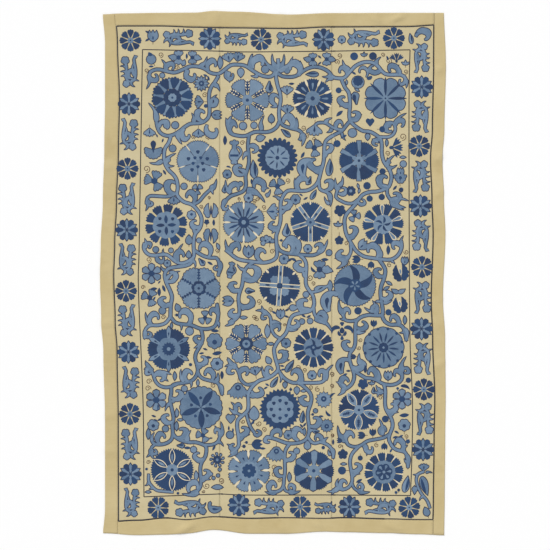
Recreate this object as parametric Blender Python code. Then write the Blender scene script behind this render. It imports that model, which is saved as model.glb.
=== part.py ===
"""A suzani: three loom-width panels of embroidered cloth, sewn side by side, with plain edging.

The cloth lies face up on a flat surface. X runs across it, Y along it towards its top, and Z up.
The origin is under its middle, on the surface. Each piece is one thin sheet, and all of them share
one set of edge and seam lines, so that neighbours meet with an even gap. Lengths are in metres,
and those in the tables are in millimetres, as their column names say.
"""

from collections import namedtuple
from math import cos, pi, radians, sin

import bmesh
import bpy
from mathutils import Vector

MM = 0.001

# The cloth's overall size, and the sheet that it is made of
CLOTH_WIDTH = 1.452
CLOTH_LENGTH = 2.202
CLOTH_THICKNESS = 0.0015
PIECE_GAP = 0.0003

# Where the two seams between the panels run, from the left side
FIRST_SEAM = 0.504
SECOND_SEAM = 0.974

# The spacing of the stations that every edge and seam line goes through, and the cells between them
STATION = 0.055
SIDE_CELLS = 3
END_CELLS = 3
EDGING_CELLS_ACROSS = 3

# Each side of the cloth as it lies: how far its outer edge, and the seam of its edging strip,
# stand in from the overall size, at places along that side from its bottom or left end.
SidePoint = namedtuple("SidePoint", "along_mm edge_in_mm seam_in_mm")

LEFT_SIDE = (
    SidePoint(0, 13, 74),
    SidePoint(127, 21, 74),
    SidePoint(484, 21, 73),
    SidePoint(778, 14, 68),
    SidePoint(904, 5, 60),
    SidePoint(1093, 0, 54),
    SidePoint(1219, 3, 58),
    SidePoint(1408, 12, 66),
    SidePoint(1618, 18, 74),
    SidePoint(1828, 21, 78),
    SidePoint(2059, 21, 70),
    SidePoint(2202, 12, 62),
)
RIGHT_SIDE = (
    SidePoint(0, 7, 52),
    SidePoint(148, 5, 49),
    SidePoint(400, 3, 46),
    SidePoint(568, 1, 43),
    SidePoint(820, 3, 52),
    SidePoint(988, 12, 58),
    SidePoint(1261, 2, 50),
    SidePoint(1408, 8, 55),
    SidePoint(1576, 14, 61),
    SidePoint(1702, 6, 53),
    SidePoint(1967, 0, 48),
    SidePoint(2202, 8, 47),
)
BOTTOM_SIDE = (
    SidePoint(0, 9, 53),
    SidePoint(147, 1, 60),
    SidePoint(273, 3, 70),
    SidePoint(357, 8, 63),
    SidePoint(477, 23, 75),
    SidePoint(630, 7, 68),
    SidePoint(777, 7, 71),
    SidePoint(945, 16, 68),
    SidePoint(1016, 14, 71),
    SidePoint(1197, 10, 66),
    SidePoint(1323, 5, 63),
    SidePoint(1452, 0, 63),
)
TOP_SIDE = (
    SidePoint(0, 14, 62),
    SidePoint(105, 10, 60),
    SidePoint(252, 8, 60),
    SidePoint(399, 7, 65),
    SidePoint(475, 0, 67),
    SidePoint(567, 3, 68),
    SidePoint(798, 15, 71),
    SidePoint(966, 9, 64),
    SidePoint(1260, 8, 63),
    SidePoint(1452, 8, 53),
)

# The folds that lift the cloth off the surface: the place of each one's middle from the cloth's
# bottom left corner, the way that it runs, and its length, half width and height.
Fold = namedtuple("Fold", "x_mm y_mm turn_deg length_mm half_width_mm height_mm")

FOLDS = (
    Fold(361, 30, 28, 130, 24, 9),
    Fold(764, 30, -38, 80, 18, 5),
    Fold(916, 42, -48, 80, 18, 6),
    Fold(1231, 34, -24, 130, 22, 7),
    Fold(1250, 2172, 24, 110, 22, 8),
    Fold(1159, 2166, -40, 90, 20, 7),
    Fold(482, 2170, 90, 90, 28, 5),
    Fold(760, 2170, 90, 90, 30, 4),
    Fold(1420, 1955, 20, 90, 26, 6),
    Fold(1420, 1585, 24, 90, 28, 6),
    Fold(1420, 1435, 28, 90, 26, 4),
    Fold(1422, 715, 30, 90, 26, 5),
    Fold(25, 1112, 0, 90, 28, 4),
    Fold(28, 890, 0, 90, 26, 4),
    Fold(38, 500, 0, 90, 28, 4),
    Fold(38, 352, 0, 90, 26, 4),
    Fold(34, 1545, 8, 90, 28, 4),
    Fold(520, 1480, 84, 420, 110, 3),
    Fold(965, 820, 95, 460, 120, 3),
    Fold(300, 640, 20, 300, 110, 3),
    Fold(1150, 1560, -25, 320, 110, 3),
    Fold(740, 1980, 10, 300, 100, 3),
)

# What the pieces are made of
GROUND_COLOUR = (0.79, 0.66, 0.36, 1.0)
EDGING_COLOUR = (0.66, 0.53, 0.27, 1.0)
CLOTH_ROUGHNESS = 0.9


def eased(table, along, column):
    """A column of a side's table, in metres, at a place along it, eased from row to row."""
    at = along / MM
    if at <= table[0].along_mm:
        return getattr(table[0], column) * MM
    for before, after in zip(table, table[1:]):
        if at <= after.along_mm:
            share = (at - before.along_mm) / (after.along_mm - before.along_mm)
            weight = (1 - cos(pi * share)) / 2
            low, high = getattr(before, column), getattr(after, column)
            return (low + (high - low) * weight) * MM
    return getattr(table[-1], column) * MM


def stations(start, end):
    """Places from start to end, about a station apart."""
    count = max(1, round((end - start) / STATION))
    return [start + (end - start) * k / count for k in range(count + 1)]


def straight_between(places, values, at):
    """The value at a place, straight between the stations, so that fine edges lie on coarse ones."""
    for k in range(len(places) - 1):
        if at <= places[k + 1] or k == len(places) - 2:
            share = (at - places[k]) / (places[k + 1] - places[k])
            return values[k] + (values[k + 1] - values[k]) * share
    return values[-1]


class Chart:
    """Where each nominal place across and along the cloth lies, along its wavy edges and seams."""

    def __init__(self):
        self.edging = (LEFT_SIDE[0].seam_in_mm + RIGHT_SIDE[0].seam_in_mm) / 2 * MM
        self.across_knots = (
            0.0,
            self.edging,
            FIRST_SEAM,
            SECOND_SEAM,
            CLOTH_WIDTH - self.edging,
            CLOTH_WIDTH,
        )
        self.along_knots = (0.0, self.edging, CLOTH_LENGTH - self.edging, CLOTH_LENGTH)
        self.across = [0.0]
        for start, end in zip(self.across_knots[1:], self.across_knots[2:-1]):
            self.across += stations(start, end)[len(self.across) > 1 :]
        self.across.append(CLOTH_WIDTH)
        self.along = [0.0] + stations(*self.along_knots[1:3]) + [CLOTH_LENGTH]
        self.upright_lines = (
            side_line(LEFT_SIDE, "edge_in_mm", self.along, 0, 1),
            side_line(LEFT_SIDE, "seam_in_mm", self.along, 0, 1),
            [FIRST_SEAM] * len(self.along),
            [SECOND_SEAM] * len(self.along),
            side_line(RIGHT_SIDE, "seam_in_mm", self.along, CLOTH_WIDTH, -1),
            side_line(RIGHT_SIDE, "edge_in_mm", self.along, CLOTH_WIDTH, -1),
        )
        self.level_lines = (
            side_line(BOTTOM_SIDE, "edge_in_mm", self.across, 0, 1),
            side_line(BOTTOM_SIDE, "seam_in_mm", self.across, 0, 1),
            side_line(TOP_SIDE, "seam_in_mm", self.across, CLOTH_LENGTH, -1),
            side_line(TOP_SIDE, "edge_in_mm", self.across, CLOTH_LENGTH, -1),
        )

    def place(self, across, along):
        """The real place, from the cloth's bottom left corner, of a nominal one."""
        uprights = [straight_between(self.along, line, along) for line in self.upright_lines]
        levels = [straight_between(self.across, line, across) for line in self.level_lines]
        return (
            straight_between(self.across_knots, uprights, across),
            straight_between(self.along_knots, levels, along),
        )


def side_line(table, column, places, start, inward):
    """One of a side's two lines at the stations, measured inward from where that side starts."""
    return [start + inward * eased(table, place, column) for place in places]


def lift(x, y):
    """How high the folds hold the underside, at a place from the bottom left corner."""
    height = 0.0
    for fold in FOLDS:
        turn = radians(fold.turn_deg)
        right, up = x - fold.x_mm * MM, y - fold.y_mm * MM
        along = (right * cos(turn) + up * sin(turn)) / (fold.length_mm * MM / 2)
        across = (up * cos(turn) - right * sin(turn)) / (fold.half_width_mm * MM)
        if abs(along) < 1 and abs(across) < 1:
            height = max(
                height,
                fold.height_mm * MM * cos(pi * along / 2) ** 2 * cos(pi * across / 2) ** 2,
            )
    return height


def cells_between(places, start, end, cells):
    """The stations from start to end, with each stretch between two of them cut into cells."""
    inside = [p for p in places if start - MM < p < end + MM]
    fine = [
        low + (high - low) * k / cells
        for low, high in zip(inside, inside[1:])
        for k in range(cells)
    ]
    return fine + [inside[-1]]


def cloth_material(name, colour):
    material = bpy.data.materials.new(name)
    material.use_nodes = True
    shader = material.node_tree.nodes["Principled BSDF"]
    shader.inputs["Base Color"].default_value = colour
    shader.inputs["Roughness"].default_value = CLOTH_ROUGHNESS
    shader.inputs["Metallic"].default_value = 0.0
    material.diffuse_color = colour
    return material


def sheet(name, chart, across, along, material):
    """One piece of cloth, from the nominal places of its columns and rows."""
    mesh_maker = bmesh.new()
    columns, rows = len(across), len(along)
    bmesh.ops.create_grid(mesh_maker, x_segments=columns - 1, y_segments=rows - 1, size=0.5)
    inset = {0: PIECE_GAP / 2}
    for vertex in mesh_maker.verts:
        column = round((vertex.co.x + 0.5) * (columns - 1))
        row = round((vertex.co.y + 0.5) * (rows - 1))
        x, y = chart.place(across[column], along[row])
        x += inset.get(column, 0) - inset.get(columns - 1 - column, 0)
        y += inset.get(row, 0) - inset.get(rows - 1 - row, 0)
        vertex.co = Vector((x - CLOTH_WIDTH / 2, y - CLOTH_LENGTH / 2, lift(x, y)))
    top = bmesh.ops.extrude_face_region(mesh_maker, geom=mesh_maker.faces[:])["geom"]
    raised = [item for item in top if isinstance(item, bmesh.types.BMVert)]
    bmesh.ops.translate(mesh_maker, verts=raised, vec=(0, 0, CLOTH_THICKNESS))
    bmesh.ops.recalc_face_normals(mesh_maker, faces=mesh_maker.faces[:])
    mesh = bpy.data.meshes.new(name)
    mesh_maker.to_mesh(mesh)
    mesh_maker.free()
    mesh.materials.append(material)
    piece = bpy.data.objects.new(name, mesh)
    bpy.context.scene.collection.objects.link(piece)
    return piece


def evenly(start, end, cells):
    return [start + (end - start) * k / cells for k in range(cells + 1)]


def build_panels(chart, ground):
    """The three embroidered panels, between the edging strips' seams."""
    rows = cells_between(chart.along, *chart.along_knots[1:3], 1)
    for k, name in enumerate(("panel_left", "panel_middle", "panel_right")):
        columns = cells_between(chart.across, *chart.across_knots[k + 1 : k + 3], 1)
        sheet(name, chart, columns, rows, ground)


def build_edging(chart, edging):
    """The four plain strips. Those at the sides run the whole length, and the others fit between them."""
    rows = cells_between(chart.along, 0, CLOTH_LENGTH, SIDE_CELLS)
    columns = cells_between(chart.across, *chart.across_knots[1::3], END_CELLS)
    near, far = chart.across_knots[:2], chart.across_knots[-2:]
    low, high = chart.along_knots[:2], chart.along_knots[-2:]
    sheet("edging_left", chart, evenly(*near, EDGING_CELLS_ACROSS), rows, edging)
    sheet("edging_right", chart, evenly(*far, EDGING_CELLS_ACROSS), rows, edging)
    sheet("edging_bottom", chart, columns, evenly(*low, EDGING_CELLS_ACROSS), edging)
    sheet("edging_top", chart, columns, evenly(*high, EDGING_CELLS_ACROSS), edging)


def main():
    for item in list(bpy.data.objects):
        bpy.data.objects.remove(item)
    chart = Chart()
    build_panels(chart, cloth_material("ground cloth", GROUND_COLOUR))
    build_edging(chart, cloth_material("edging cloth", EDGING_COLOUR))


main()
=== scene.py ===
"""The looks of a suzani: seven pieces of cloth sewn together, and everything embroidered on them.

The embroidery is drawn up on a chart, as a needleworker would: so many steps across and so many down.
Each motif grows from a spot on the chart. Its shapes are padded runs of laid thread with a stitched
outline, and they lie on the cloth's own folds.
"""

from collections import namedtuple
from math import atan2, ceil, cos, hypot, pi, radians, sin

import bmesh
import bpy
import numpy as np
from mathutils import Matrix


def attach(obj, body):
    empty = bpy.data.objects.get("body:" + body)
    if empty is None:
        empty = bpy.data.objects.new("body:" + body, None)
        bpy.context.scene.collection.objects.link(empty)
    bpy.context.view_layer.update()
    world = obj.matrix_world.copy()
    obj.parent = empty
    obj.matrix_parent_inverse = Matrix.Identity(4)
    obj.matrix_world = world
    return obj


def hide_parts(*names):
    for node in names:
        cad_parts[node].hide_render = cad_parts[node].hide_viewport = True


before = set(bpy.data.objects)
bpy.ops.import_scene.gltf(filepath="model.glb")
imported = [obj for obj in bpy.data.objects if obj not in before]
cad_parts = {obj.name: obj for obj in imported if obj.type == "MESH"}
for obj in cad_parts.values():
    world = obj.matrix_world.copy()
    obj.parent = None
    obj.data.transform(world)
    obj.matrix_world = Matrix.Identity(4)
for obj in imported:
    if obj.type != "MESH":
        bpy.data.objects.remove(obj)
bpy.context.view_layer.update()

MM = 0.001
BODY = "root"
SEED = 7

# The cloth, as the solids have it
CLOTH_WIDTH = 1.452
CLOTH_LENGTH = 2.202
CLOTH_THICKNESS = 0.0015
FIRST_SEAM = 0.504
SECOND_SEAM = 0.974
EDGING = 0.063

# The chart: the size of a step, the place on it of the cloth's middle, and the seams' places across.
# A step stands for one pixel of the photo, and places on the chart are read across and down.
STEP = 0.0042
MIDDLE_ACROSS = 272.9
MIDDLE_DOWN = 273.15
FIRST_SEAM_ACROSS = 220
SECOND_SEAM_ACROSS = 332

# Each side of the cloth as it lies: how far its outer edge, and the seam of its edging strip,
# stand in from the overall size, at places along that side from its bottom or left end.
SidePoint = namedtuple("SidePoint", "along_mm edge_in_mm seam_in_mm")

LEFT_SIDE = (
    SidePoint(0, 13, 74),
    SidePoint(127, 21, 74),
    SidePoint(484, 21, 73),
    SidePoint(778, 14, 68),
    SidePoint(904, 5, 60),
    SidePoint(1093, 0, 54),
    SidePoint(1219, 3, 58),
    SidePoint(1408, 12, 66),
    SidePoint(1618, 18, 74),
    SidePoint(1828, 21, 78),
    SidePoint(2059, 21, 70),
    SidePoint(2202, 12, 62),
)
RIGHT_SIDE = (
    SidePoint(0, 7, 52),
    SidePoint(148, 5, 49),
    SidePoint(400, 3, 46),
    SidePoint(568, 1, 43),
    SidePoint(820, 3, 52),
    SidePoint(988, 12, 58),
    SidePoint(1261, 2, 50),
    SidePoint(1408, 8, 55),
    SidePoint(1576, 14, 61),
    SidePoint(1702, 6, 53),
    SidePoint(1967, 0, 48),
    SidePoint(2202, 8, 47),
)
BOTTOM_SIDE = (
    SidePoint(0, 9, 53),
    SidePoint(147, 1, 60),
    SidePoint(273, 3, 70),
    SidePoint(357, 8, 63),
    SidePoint(477, 23, 75),
    SidePoint(630, 7, 68),
    SidePoint(777, 7, 71),
    SidePoint(945, 16, 68),
    SidePoint(1016, 14, 71),
    SidePoint(1197, 10, 66),
    SidePoint(1323, 5, 63),
    SidePoint(1452, 0, 63),
)
TOP_SIDE = (
    SidePoint(0, 14, 62),
    SidePoint(105, 10, 60),
    SidePoint(252, 8, 60),
    SidePoint(399, 7, 65),
    SidePoint(475, 0, 67),
    SidePoint(567, 3, 68),
    SidePoint(798, 15, 71),
    SidePoint(966, 9, 64),
    SidePoint(1260, 8, 63),
    SidePoint(1452, 8, 53),
)

# The folds of the solids, and the finer creases, placed from the cloth's bottom left corner
Fold = namedtuple("Fold", "x_mm y_mm turn_deg length_mm half_width_mm height_mm")

FOLDS = (
    Fold(361, 30, 28, 130, 24, 9),
    Fold(764, 30, -38, 80, 18, 5),
    Fold(916, 42, -48, 80, 18, 6),
    Fold(1231, 34, -24, 130, 22, 7),
    Fold(1250, 2172, 24, 110, 22, 8),
    Fold(1159, 2166, -40, 90, 20, 7),
    Fold(482, 2170, 90, 90, 28, 5),
    Fold(760, 2170, 90, 90, 30, 4),
    Fold(1420, 1955, 20, 90, 26, 6),
    Fold(1420, 1585, 24, 90, 28, 6),
    Fold(1420, 1435, 28, 90, 26, 4),
    Fold(1422, 715, 30, 90, 26, 5),
    Fold(25, 1112, 0, 90, 28, 4),
    Fold(28, 890, 0, 90, 26, 4),
    Fold(38, 500, 0, 90, 28, 4),
    Fold(38, 352, 0, 90, 26, 4),
    Fold(34, 1545, 8, 90, 28, 4),
    Fold(520, 1480, 84, 420, 110, 3),
    Fold(965, 820, 95, 460, 120, 3),
    Fold(300, 640, 20, 300, 110, 3),
    Fold(1150, 1560, -25, 320, 110, 3),
    Fold(740, 1980, 10, 300, 100, 3),
)
CREASES = (
    Fold(34, 1475, 4, 90, 11, 1.6),
    Fold(26, 1030, -3, 90, 10, 1.6),
    Fold(34, 711, 2, 90, 12, 1.8),
    Fold(38, 442, -4, 90, 10, 1.4),
    Fold(36, 127, 3, 90, 12, 1.8),
    Fold(34, 60, 6, 90, 9, 1.3),
    Fold(30, 1330, 5, 80, 13, 1.5),
    Fold(34, 1700, 0, 90, 12, 1.3),
    Fold(36, 1890, -5, 90, 14, 1.5),
    Fold(1424, 1652, 22, 80, 12, 2.0),
    Fold(1424, 1249, 30, 80, 11, 1.8),
    Fold(1424, 988, 26, 80, 12, 2.0),
    Fold(1426, 883, 28, 80, 9, 1.5),
    Fold(1424, 1816, 18, 80, 10, 1.5),
    Fold(1426, 560, 20, 80, 13, 1.6),
    Fold(1426, 420, -6, 80, 11, 1.5),
    Fold(1426, 240, 12, 80, 13, 1.6),
    Fold(1029, 34, 90, 80, 11, 2.0),
    Fold(1084, 32, 84, 80, 10, 1.8),
    Fold(600, 36, 96, 80, 12, 1.6),
    Fold(140, 32, 80, 80, 12, 1.5),
    Fold(250, 36, 100, 80, 10, 1.5),
    Fold(1330, 34, 75, 80, 11, 1.5),
    Fold(1058, 2172, 86, 80, 11, 1.8),
    Fold(798, 2168, 94, 80, 10, 1.6),
    Fold(640, 2168, 90, 80, 12, 1.4),
    Fold(330, 2168, 84, 80, 12, 1.5),
    Fold(180, 2168, 97, 80, 11, 1.5),
    Fold(960, 2168, 92, 80, 9, 1.4),
    Fold(1360, 2168, 80, 80, 12, 1.5),
)

# The spacing of the points in the cloth's sheets, and the turned hem along its outer edges
PANEL_CELL = 0.008
EDGING_CELL = 0.0055
HEM_WIDTH = 0.009
HEM_RISE = 0.0007
HEM_STEP = 0.002
EDGE_ROUNDING = 0.0004
PIECE_GAP = 0.0003

# How far the stitches stand above the cloth: the outline's top, a pad's edge and its crest.
# Each level of stitches that lies on another stands that much higher, and roots are in the cloth.
# No two shapes are quite as high, by up to these differences.
OUTLINE_TOP = 0.00032
PAD_EDGE = 0.00048
PAD_CREST = 0.00072
STEM_CREST = 0.00050
LEVEL_RISE = 0.00040
ROOT_DEPTH = -0.00025
OUTLINE_UNEVENNESS = 0.00004
PAD_UNEVENNESS = 0.00006

# The outline's width, and at a pointed tip how far it reaches past and to the sides, in widths
OUTLINE_WIDTH = 0.0035
TIP_REACH = 1.3
TIP_SPREAD = 0.35

# Points nearer than this are one
MERGE = 0.000002

# Where between a round shape's middle and its rim its threads are as long as they are laid
RADIAL_MEASURE = 0.7


# The cloth's form


def side_line(table, column, along):
    """A column of a side's table, in metres, at places along it, eased from row to row."""
    knots = np.array([point.along_mm for point in table]) * MM
    values = np.array([getattr(point, column) for point in table]) * MM
    at = np.clip(along, knots[0], knots[-1])
    row = np.clip(np.searchsorted(knots, at) - 1, 0, len(knots) - 2)
    share = (at - knots[row]) / (knots[row + 1] - knots[row])
    return values[row] + (values[row + 1] - values[row]) * (1 - np.cos(pi * share)) / 2


# The seams and sides of a cloth with straight edges, which the real ones are placed by
ACROSS_KNOTS = np.array((0.0, EDGING, FIRST_SEAM, SECOND_SEAM, CLOTH_WIDTH - EDGING, CLOTH_WIDTH))
ALONG_KNOTS = np.array((0.0, EDGING, CLOTH_LENGTH - EDGING, CLOTH_LENGTH))


def between(knots, lines, at):
    """The values at places, straight between the lines that stand at the knots."""
    row = np.clip(np.searchsorted(knots, at, side="right") - 1, 0, len(knots) - 2)
    share = (at - knots[row]) / (knots[row + 1] - knots[row])
    lines = [np.broadcast_to(line, at.shape) for line in lines]
    low, high = np.choose(row, lines), np.choose(row + 1, lines)
    return low + (high - low) * share


def place(across, along):
    """The real places, from the cloth's bottom left corner, of nominal ones."""
    uprights = (
        side_line(LEFT_SIDE, "edge_in_mm", along),
        side_line(LEFT_SIDE, "seam_in_mm", along),
        FIRST_SEAM,
        SECOND_SEAM,
        CLOTH_WIDTH - side_line(RIGHT_SIDE, "seam_in_mm", along),
        CLOTH_WIDTH - side_line(RIGHT_SIDE, "edge_in_mm", along),
    )
    levels = (
        side_line(BOTTOM_SIDE, "edge_in_mm", across),
        side_line(BOTTOM_SIDE, "seam_in_mm", across),
        CLOTH_LENGTH - side_line(TOP_SIDE, "seam_in_mm", across),
        CLOTH_LENGTH - side_line(TOP_SIDE, "edge_in_mm", across),
    )
    return between(ACROSS_KNOTS, uprights, across), between(ALONG_KNOTS, levels, along)


def ridges(folds, x, y):
    """The height of the highest of some folds, at places from the middle of the cloth."""
    height = np.zeros_like(x)
    for fold in folds:
        turn = radians(fold.turn_deg)
        right = x + CLOTH_WIDTH / 2 - fold.x_mm * MM
        up = y + CLOTH_LENGTH / 2 - fold.y_mm * MM
        along = (right * cos(turn) + up * sin(turn)) / (fold.length_mm * MM / 2)
        across = (up * cos(turn) - right * sin(turn)) / (fold.half_width_mm * MM)
        inside = (np.abs(along) < 1) & (np.abs(across) < 1)
        bump = fold.height_mm * MM * np.cos(pi * along / 2) ** 2 * np.cos(pi * across / 2) ** 2
        height = np.maximum(height, np.where(inside, bump, 0))
    return height


def cloth_lift(x, y):
    """How high the folds and creases hold the cloth's underside above the surface."""
    return ridges(FOLDS, x, y) + ridges(CREASES, x, y)


def cloth_top(x, y):
    """How high the cloth's face is above the surface."""
    return cloth_lift(x, y) + CLOTH_THICKNESS


def evenly(start, end, cell):
    """Places from a start to an end, as near as can be to a cell apart."""
    return np.linspace(start, end, max(2, round((end - start) / cell)) + 1)


def sheet_points(across, along):
    """Where the points of one piece of cloth lie, and how thick it is there, with its turned hem."""
    columns, rows = np.meshgrid(across, along)
    x, y = place(columns, rows)
    x, y = x - CLOTH_WIDTH / 2, y - CLOTH_LENGTH / 2
    x[:, 0], x[:, -1] = x[:, 0] + PIECE_GAP / 2, x[:, -1] - PIECE_GAP / 2
    y[0], y[-1] = y[0] + PIECE_GAP / 2, y[-1] - PIECE_GAP / 2
    inset = np.minimum.reduce((columns, CLOTH_WIDTH - columns, rows, CLOTH_LENGTH - rows))
    thickness = CLOTH_THICKNESS + HEM_RISE * np.clip((HEM_WIDTH - inset) / HEM_STEP, 0, 1)
    thickness[[0, -1], :] -= EDGE_ROUNDING
    thickness[:, [0, -1]] -= EDGE_ROUNDING
    return x, y, thickness


def cloth_sheet(node, across, along, material):
    """One piece of cloth, as a thin sheet on its solid's folds."""
    x, y, thickness = sheet_points(across, along)
    maker = bmesh.new()
    bmesh.ops.create_grid(maker, x_segments=len(across) - 1, y_segments=len(along) - 1, size=0.5)
    under = cloth_lift(x, y)
    for vertex, *corner in zip(maker.verts, x.ravel(), y.ravel(), under.ravel()):
        vertex.co = corner
    top = bmesh.ops.extrude_face_region(maker, geom=maker.faces[:])["geom"]
    raised = [item for item in top if isinstance(item, bmesh.types.BMVert)]
    for vertex, rise in zip(raised, thickness.ravel()):
        vertex.co.z += rise
    bmesh.ops.recalc_face_normals(maker, faces=maker.faces[:])
    mesh = bpy.data.meshes.new(node + "_cloth")
    maker.to_mesh(mesh)
    maker.free()
    return finish_piece(mesh, material, smooth=True)


def finish_piece(mesh, material, smooth):
    """Makes a mesh a piece that rides on the cloth's body and takes its finish from a slot."""
    mesh.update()
    mesh.materials.append(material)
    if smooth:
        mesh.shade_smooth()
    piece = put_in_scene(mesh.name, mesh)
    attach(piece, BODY)
    return piece


# Stitched shapes


class Threadwork:
    """All that one thread makes on one panel, kept as rows of points until it is made a mesh."""

    def __init__(self, name, material, slot):
        self.name, self.material, self.slot = name, material, slot
        self.shapes = {}

    def add(self, points, stitches, tone):
        """Keeps a shape: its rows of points, the threads' run at each and its tone."""
        self.shapes.setdefault(points.shape[1], []).append((points, stitches, tone))

    def make(self):
        """One long grid for each number of columns, cut apart where one shape ends and the next starts."""
        maker = bmesh.new()
        spare, places, stitches, tones = [], [], [], []
        for columns, shapes in sorted(self.shapes.items()):
            rows = sum(len(points) for points, _, _ in shapes)
            row, first_face = 0, len(maker.faces)
            bmesh.ops.create_grid(maker, x_segments=columns - 1, y_segments=rows - 1, size=0.5)
            for points, laid, tone in shapes:
                row += len(points)
                if row < rows:
                    start = first_face + (row - 1) * (columns - 1)
                    spare += range(start, start + columns - 1)
                places.append(points.reshape(-1, 3))
                stitches.append(laid.reshape(-1, 2))
                tones.append(np.full(points.shape[0] * columns, tone))
        maker.faces.ensure_lookup_table()
        bmesh.ops.delete(maker, geom=[maker.faces[k] for k in spare], context="FACES")
        mesh = bpy.data.meshes.new(self.name)
        maker.to_mesh(mesh)
        maker.free()
        self.fill_in(mesh, np.concatenate(places), np.concatenate(stitches), np.concatenate(tones))
        return finish_piece(mesh, self.material, smooth=False)

    def fill_in(self, mesh, places, stitches, tones):
        """Puts the points on the cloth, stores how the threads run, and closes the shapes."""
        places[:, 2] += cloth_top(places[:, 0], places[:, 1])
        mesh.vertices.foreach_set("co", places.ravel())
        corners = np.empty(len(mesh.loops), dtype=np.int32)
        mesh.loops.foreach_get("vertex_index", corners)
        laid = mesh.uv_layers.new(name="laid")
        laid.uv.foreach_set("vector", stitches[corners].ravel())
        tone = mesh.attributes.new("tone", "FLOAT", "POINT")
        tone.data.foreach_set("value", tones)
        close_shapes(mesh)


def close_shapes(mesh):
    """Joins points that meet, so that each shape is a closed body, and drops flaps that have no area."""
    closer = bmesh.new()
    closer.from_mesh(mesh)
    bmesh.ops.remove_doubles(closer, verts=closer.verts[:], dist=MERGE)
    flaps = [face for face in closer.faces if any(len(edge.link_faces) == 1 for edge in face.edges)]
    bmesh.ops.delete(closer, geom=flaps, context="FACES")
    wires = [edge for edge in closer.edges if not edge.link_faces]
    bmesh.ops.delete(closer, geom=wires, context="EDGES")
    closer.to_mesh(mesh)
    closer.free()


# How the points of a shape's cross-section are spread, and how high they stand, from its left side
# to its right: a thin line, a narrow and a broad pad, and the flat outline under each of those
SECTIONS = {
    "line": ((0.5,), (1,)),
    "pad": ((0, 0.5, 1), (0, 1, 0)),
    "broad": ((0, 0.33, 0.67, 1), (0, 1, 1, 0)),
    "under pad": ((0, 0.5, 1), (0, 0, 0)),
    "under broad": ((0, 0.33, 0.67, 1), (0, 0, 0, 0)),
}


class Needlework:
    """The needleworker: adds shapes, given on the chart, to the thread and panel that they belong to."""

    def __init__(self, materials):
        self.materials = materials
        self.works = {}
        self.dice = np.random.default_rng(SEED)

    def work(self, thread, across):
        """The threadwork of a thread, on the panel that a place across the chart is on."""
        panel = "left" if across < FIRST_SEAM_ACROSS else "middle"
        if across > SECOND_SEAM_ACROSS:
            panel = "right"
        key = (panel, thread)
        if key not in self.works:
            material, slot = self.materials[thread]
            self.works[key] = Threadwork(f"panel_{panel}_{thread}_stitches", material, slot)
        return self.works[key]

    def lay(self, thread, left, right, section, edge, crest, tone, radial=False, closed=False):
        """A closed body between two lines on the chart, of one of the cross-sections."""
        work = self.work(thread, float(np.mean((left[:, 0] + right[:, 0]) / 2)))
        left, right = to_cloth(left), to_cloth(right)
        shares, heights = SECTIONS[section]
        shares = np.array((0,) + shares + (1, 0))
        tops = np.array([edge + (crest - edge) * height for height in heights])
        heights = np.concatenate(([ROOT_DEPTH], tops, [ROOT_DEPTH, ROOT_DEPTH]))
        flat = left[:, None, :] + (right - left)[:, None, :] * shares[None, :, None]
        standing = np.broadcast_to(heights[None, :, None], flat.shape[:2] + (1,))
        points = np.concatenate((flat, standing), axis=2)
        middle = (left + right) / 2
        if radial:
            middle = left + (right - left) * RADIAL_MEASURE
        run = np.concatenate(([0.0], np.cumsum(np.hypot(*np.diff(middle, axis=0).T))))
        width = np.hypot(*(right - left).T)
        side = width[:, None] * (shares[None, :] if radial else shares[None, :] - 0.5)
        length = np.broadcast_to(run[:, None], side.shape)
        laid = np.stack((side, length) if radial else (length, side), axis=2)
        laid = laid + self.dice.uniform(0, 1, 2)
        if not closed:
            points, laid = closed_ends(points), np.concatenate((laid[:1], laid, laid[-1:]))
        work.add(points.copy(), laid, tone)

    def sew(self, thread, left, right, level=0, section="pad", radial=False, closed=False):
        """A shape of laid thread, with a stitched outline round it if it is light and lies on the cloth."""
        rise = level * LEVEL_RISE
        tone = self.dice.uniform()
        if thread == "light" and level == 0:
            outer_left, outer_right = outline(left, right, closed)
            top = OUTLINE_TOP + rise + tone * OUTLINE_UNEVENNESS
            self.lay("outline", outer_left, outer_right, "under " + section, top, top, tone, radial, closed)
        lift = rise + self.dice.uniform(0, PAD_UNEVENNESS)
        self.lay(thread, left, right, section, PAD_EDGE + lift, PAD_CREST + lift, tone, radial, closed)


def to_cloth(points):
    """Places on the chart, across and up, as places in metres from the middle of the cloth."""
    return (points - np.array((MIDDLE_ACROSS, -MIDDLE_DOWN))) * STEP


def closed_ends(points):
    """Adds a row at each end in which all the points meet at the cloth, so that the body is closed."""
    ends = []
    for row in (points[0], points[-1]):
        meeting = np.broadcast_to(row.mean(axis=0), row.shape).copy()
        meeting[:, :2] = (row[0, :2] + row[-2, :2]) / 2
        meeting[:, 2] = ROOT_DEPTH
        ends.append(meeting)
    return np.concatenate((ends[0][None], points, ends[1][None]))


def outline(left, right, closed):
    """The two sides of a shape, moved out by an outline's width."""
    width = OUTLINE_WIDTH / STEP
    if closed:
        spread = outward(right[:-1], True)
        return left, right + np.concatenate((spread, spread[:1])) * width
    ring = np.concatenate((right, left[::-1]))
    moved = ring + outward(ring, True) * width
    count = len(right)
    new_right, new_left = moved[:count], moved[count:][::-1]
    for end, step in ((0, 1), (-1, -1)):
        if hypot(*(left[end] - right[end])) < width / 2:
            tip = (left[end] + right[end]) / 2
            ahead = tip - (left[end + step] + right[end + step]) / 2
            ahead = ahead / max(hypot(*ahead), 1e-9)
            aside = np.array((-ahead[1], ahead[0])) * width * TIP_SPREAD
            new_left[end] = tip + ahead * width * TIP_REACH + (-aside if end == 0 else aside)
            new_right[end] = tip + ahead * width * TIP_REACH - (-aside if end == 0 else aside)
    return new_left, new_right


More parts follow.
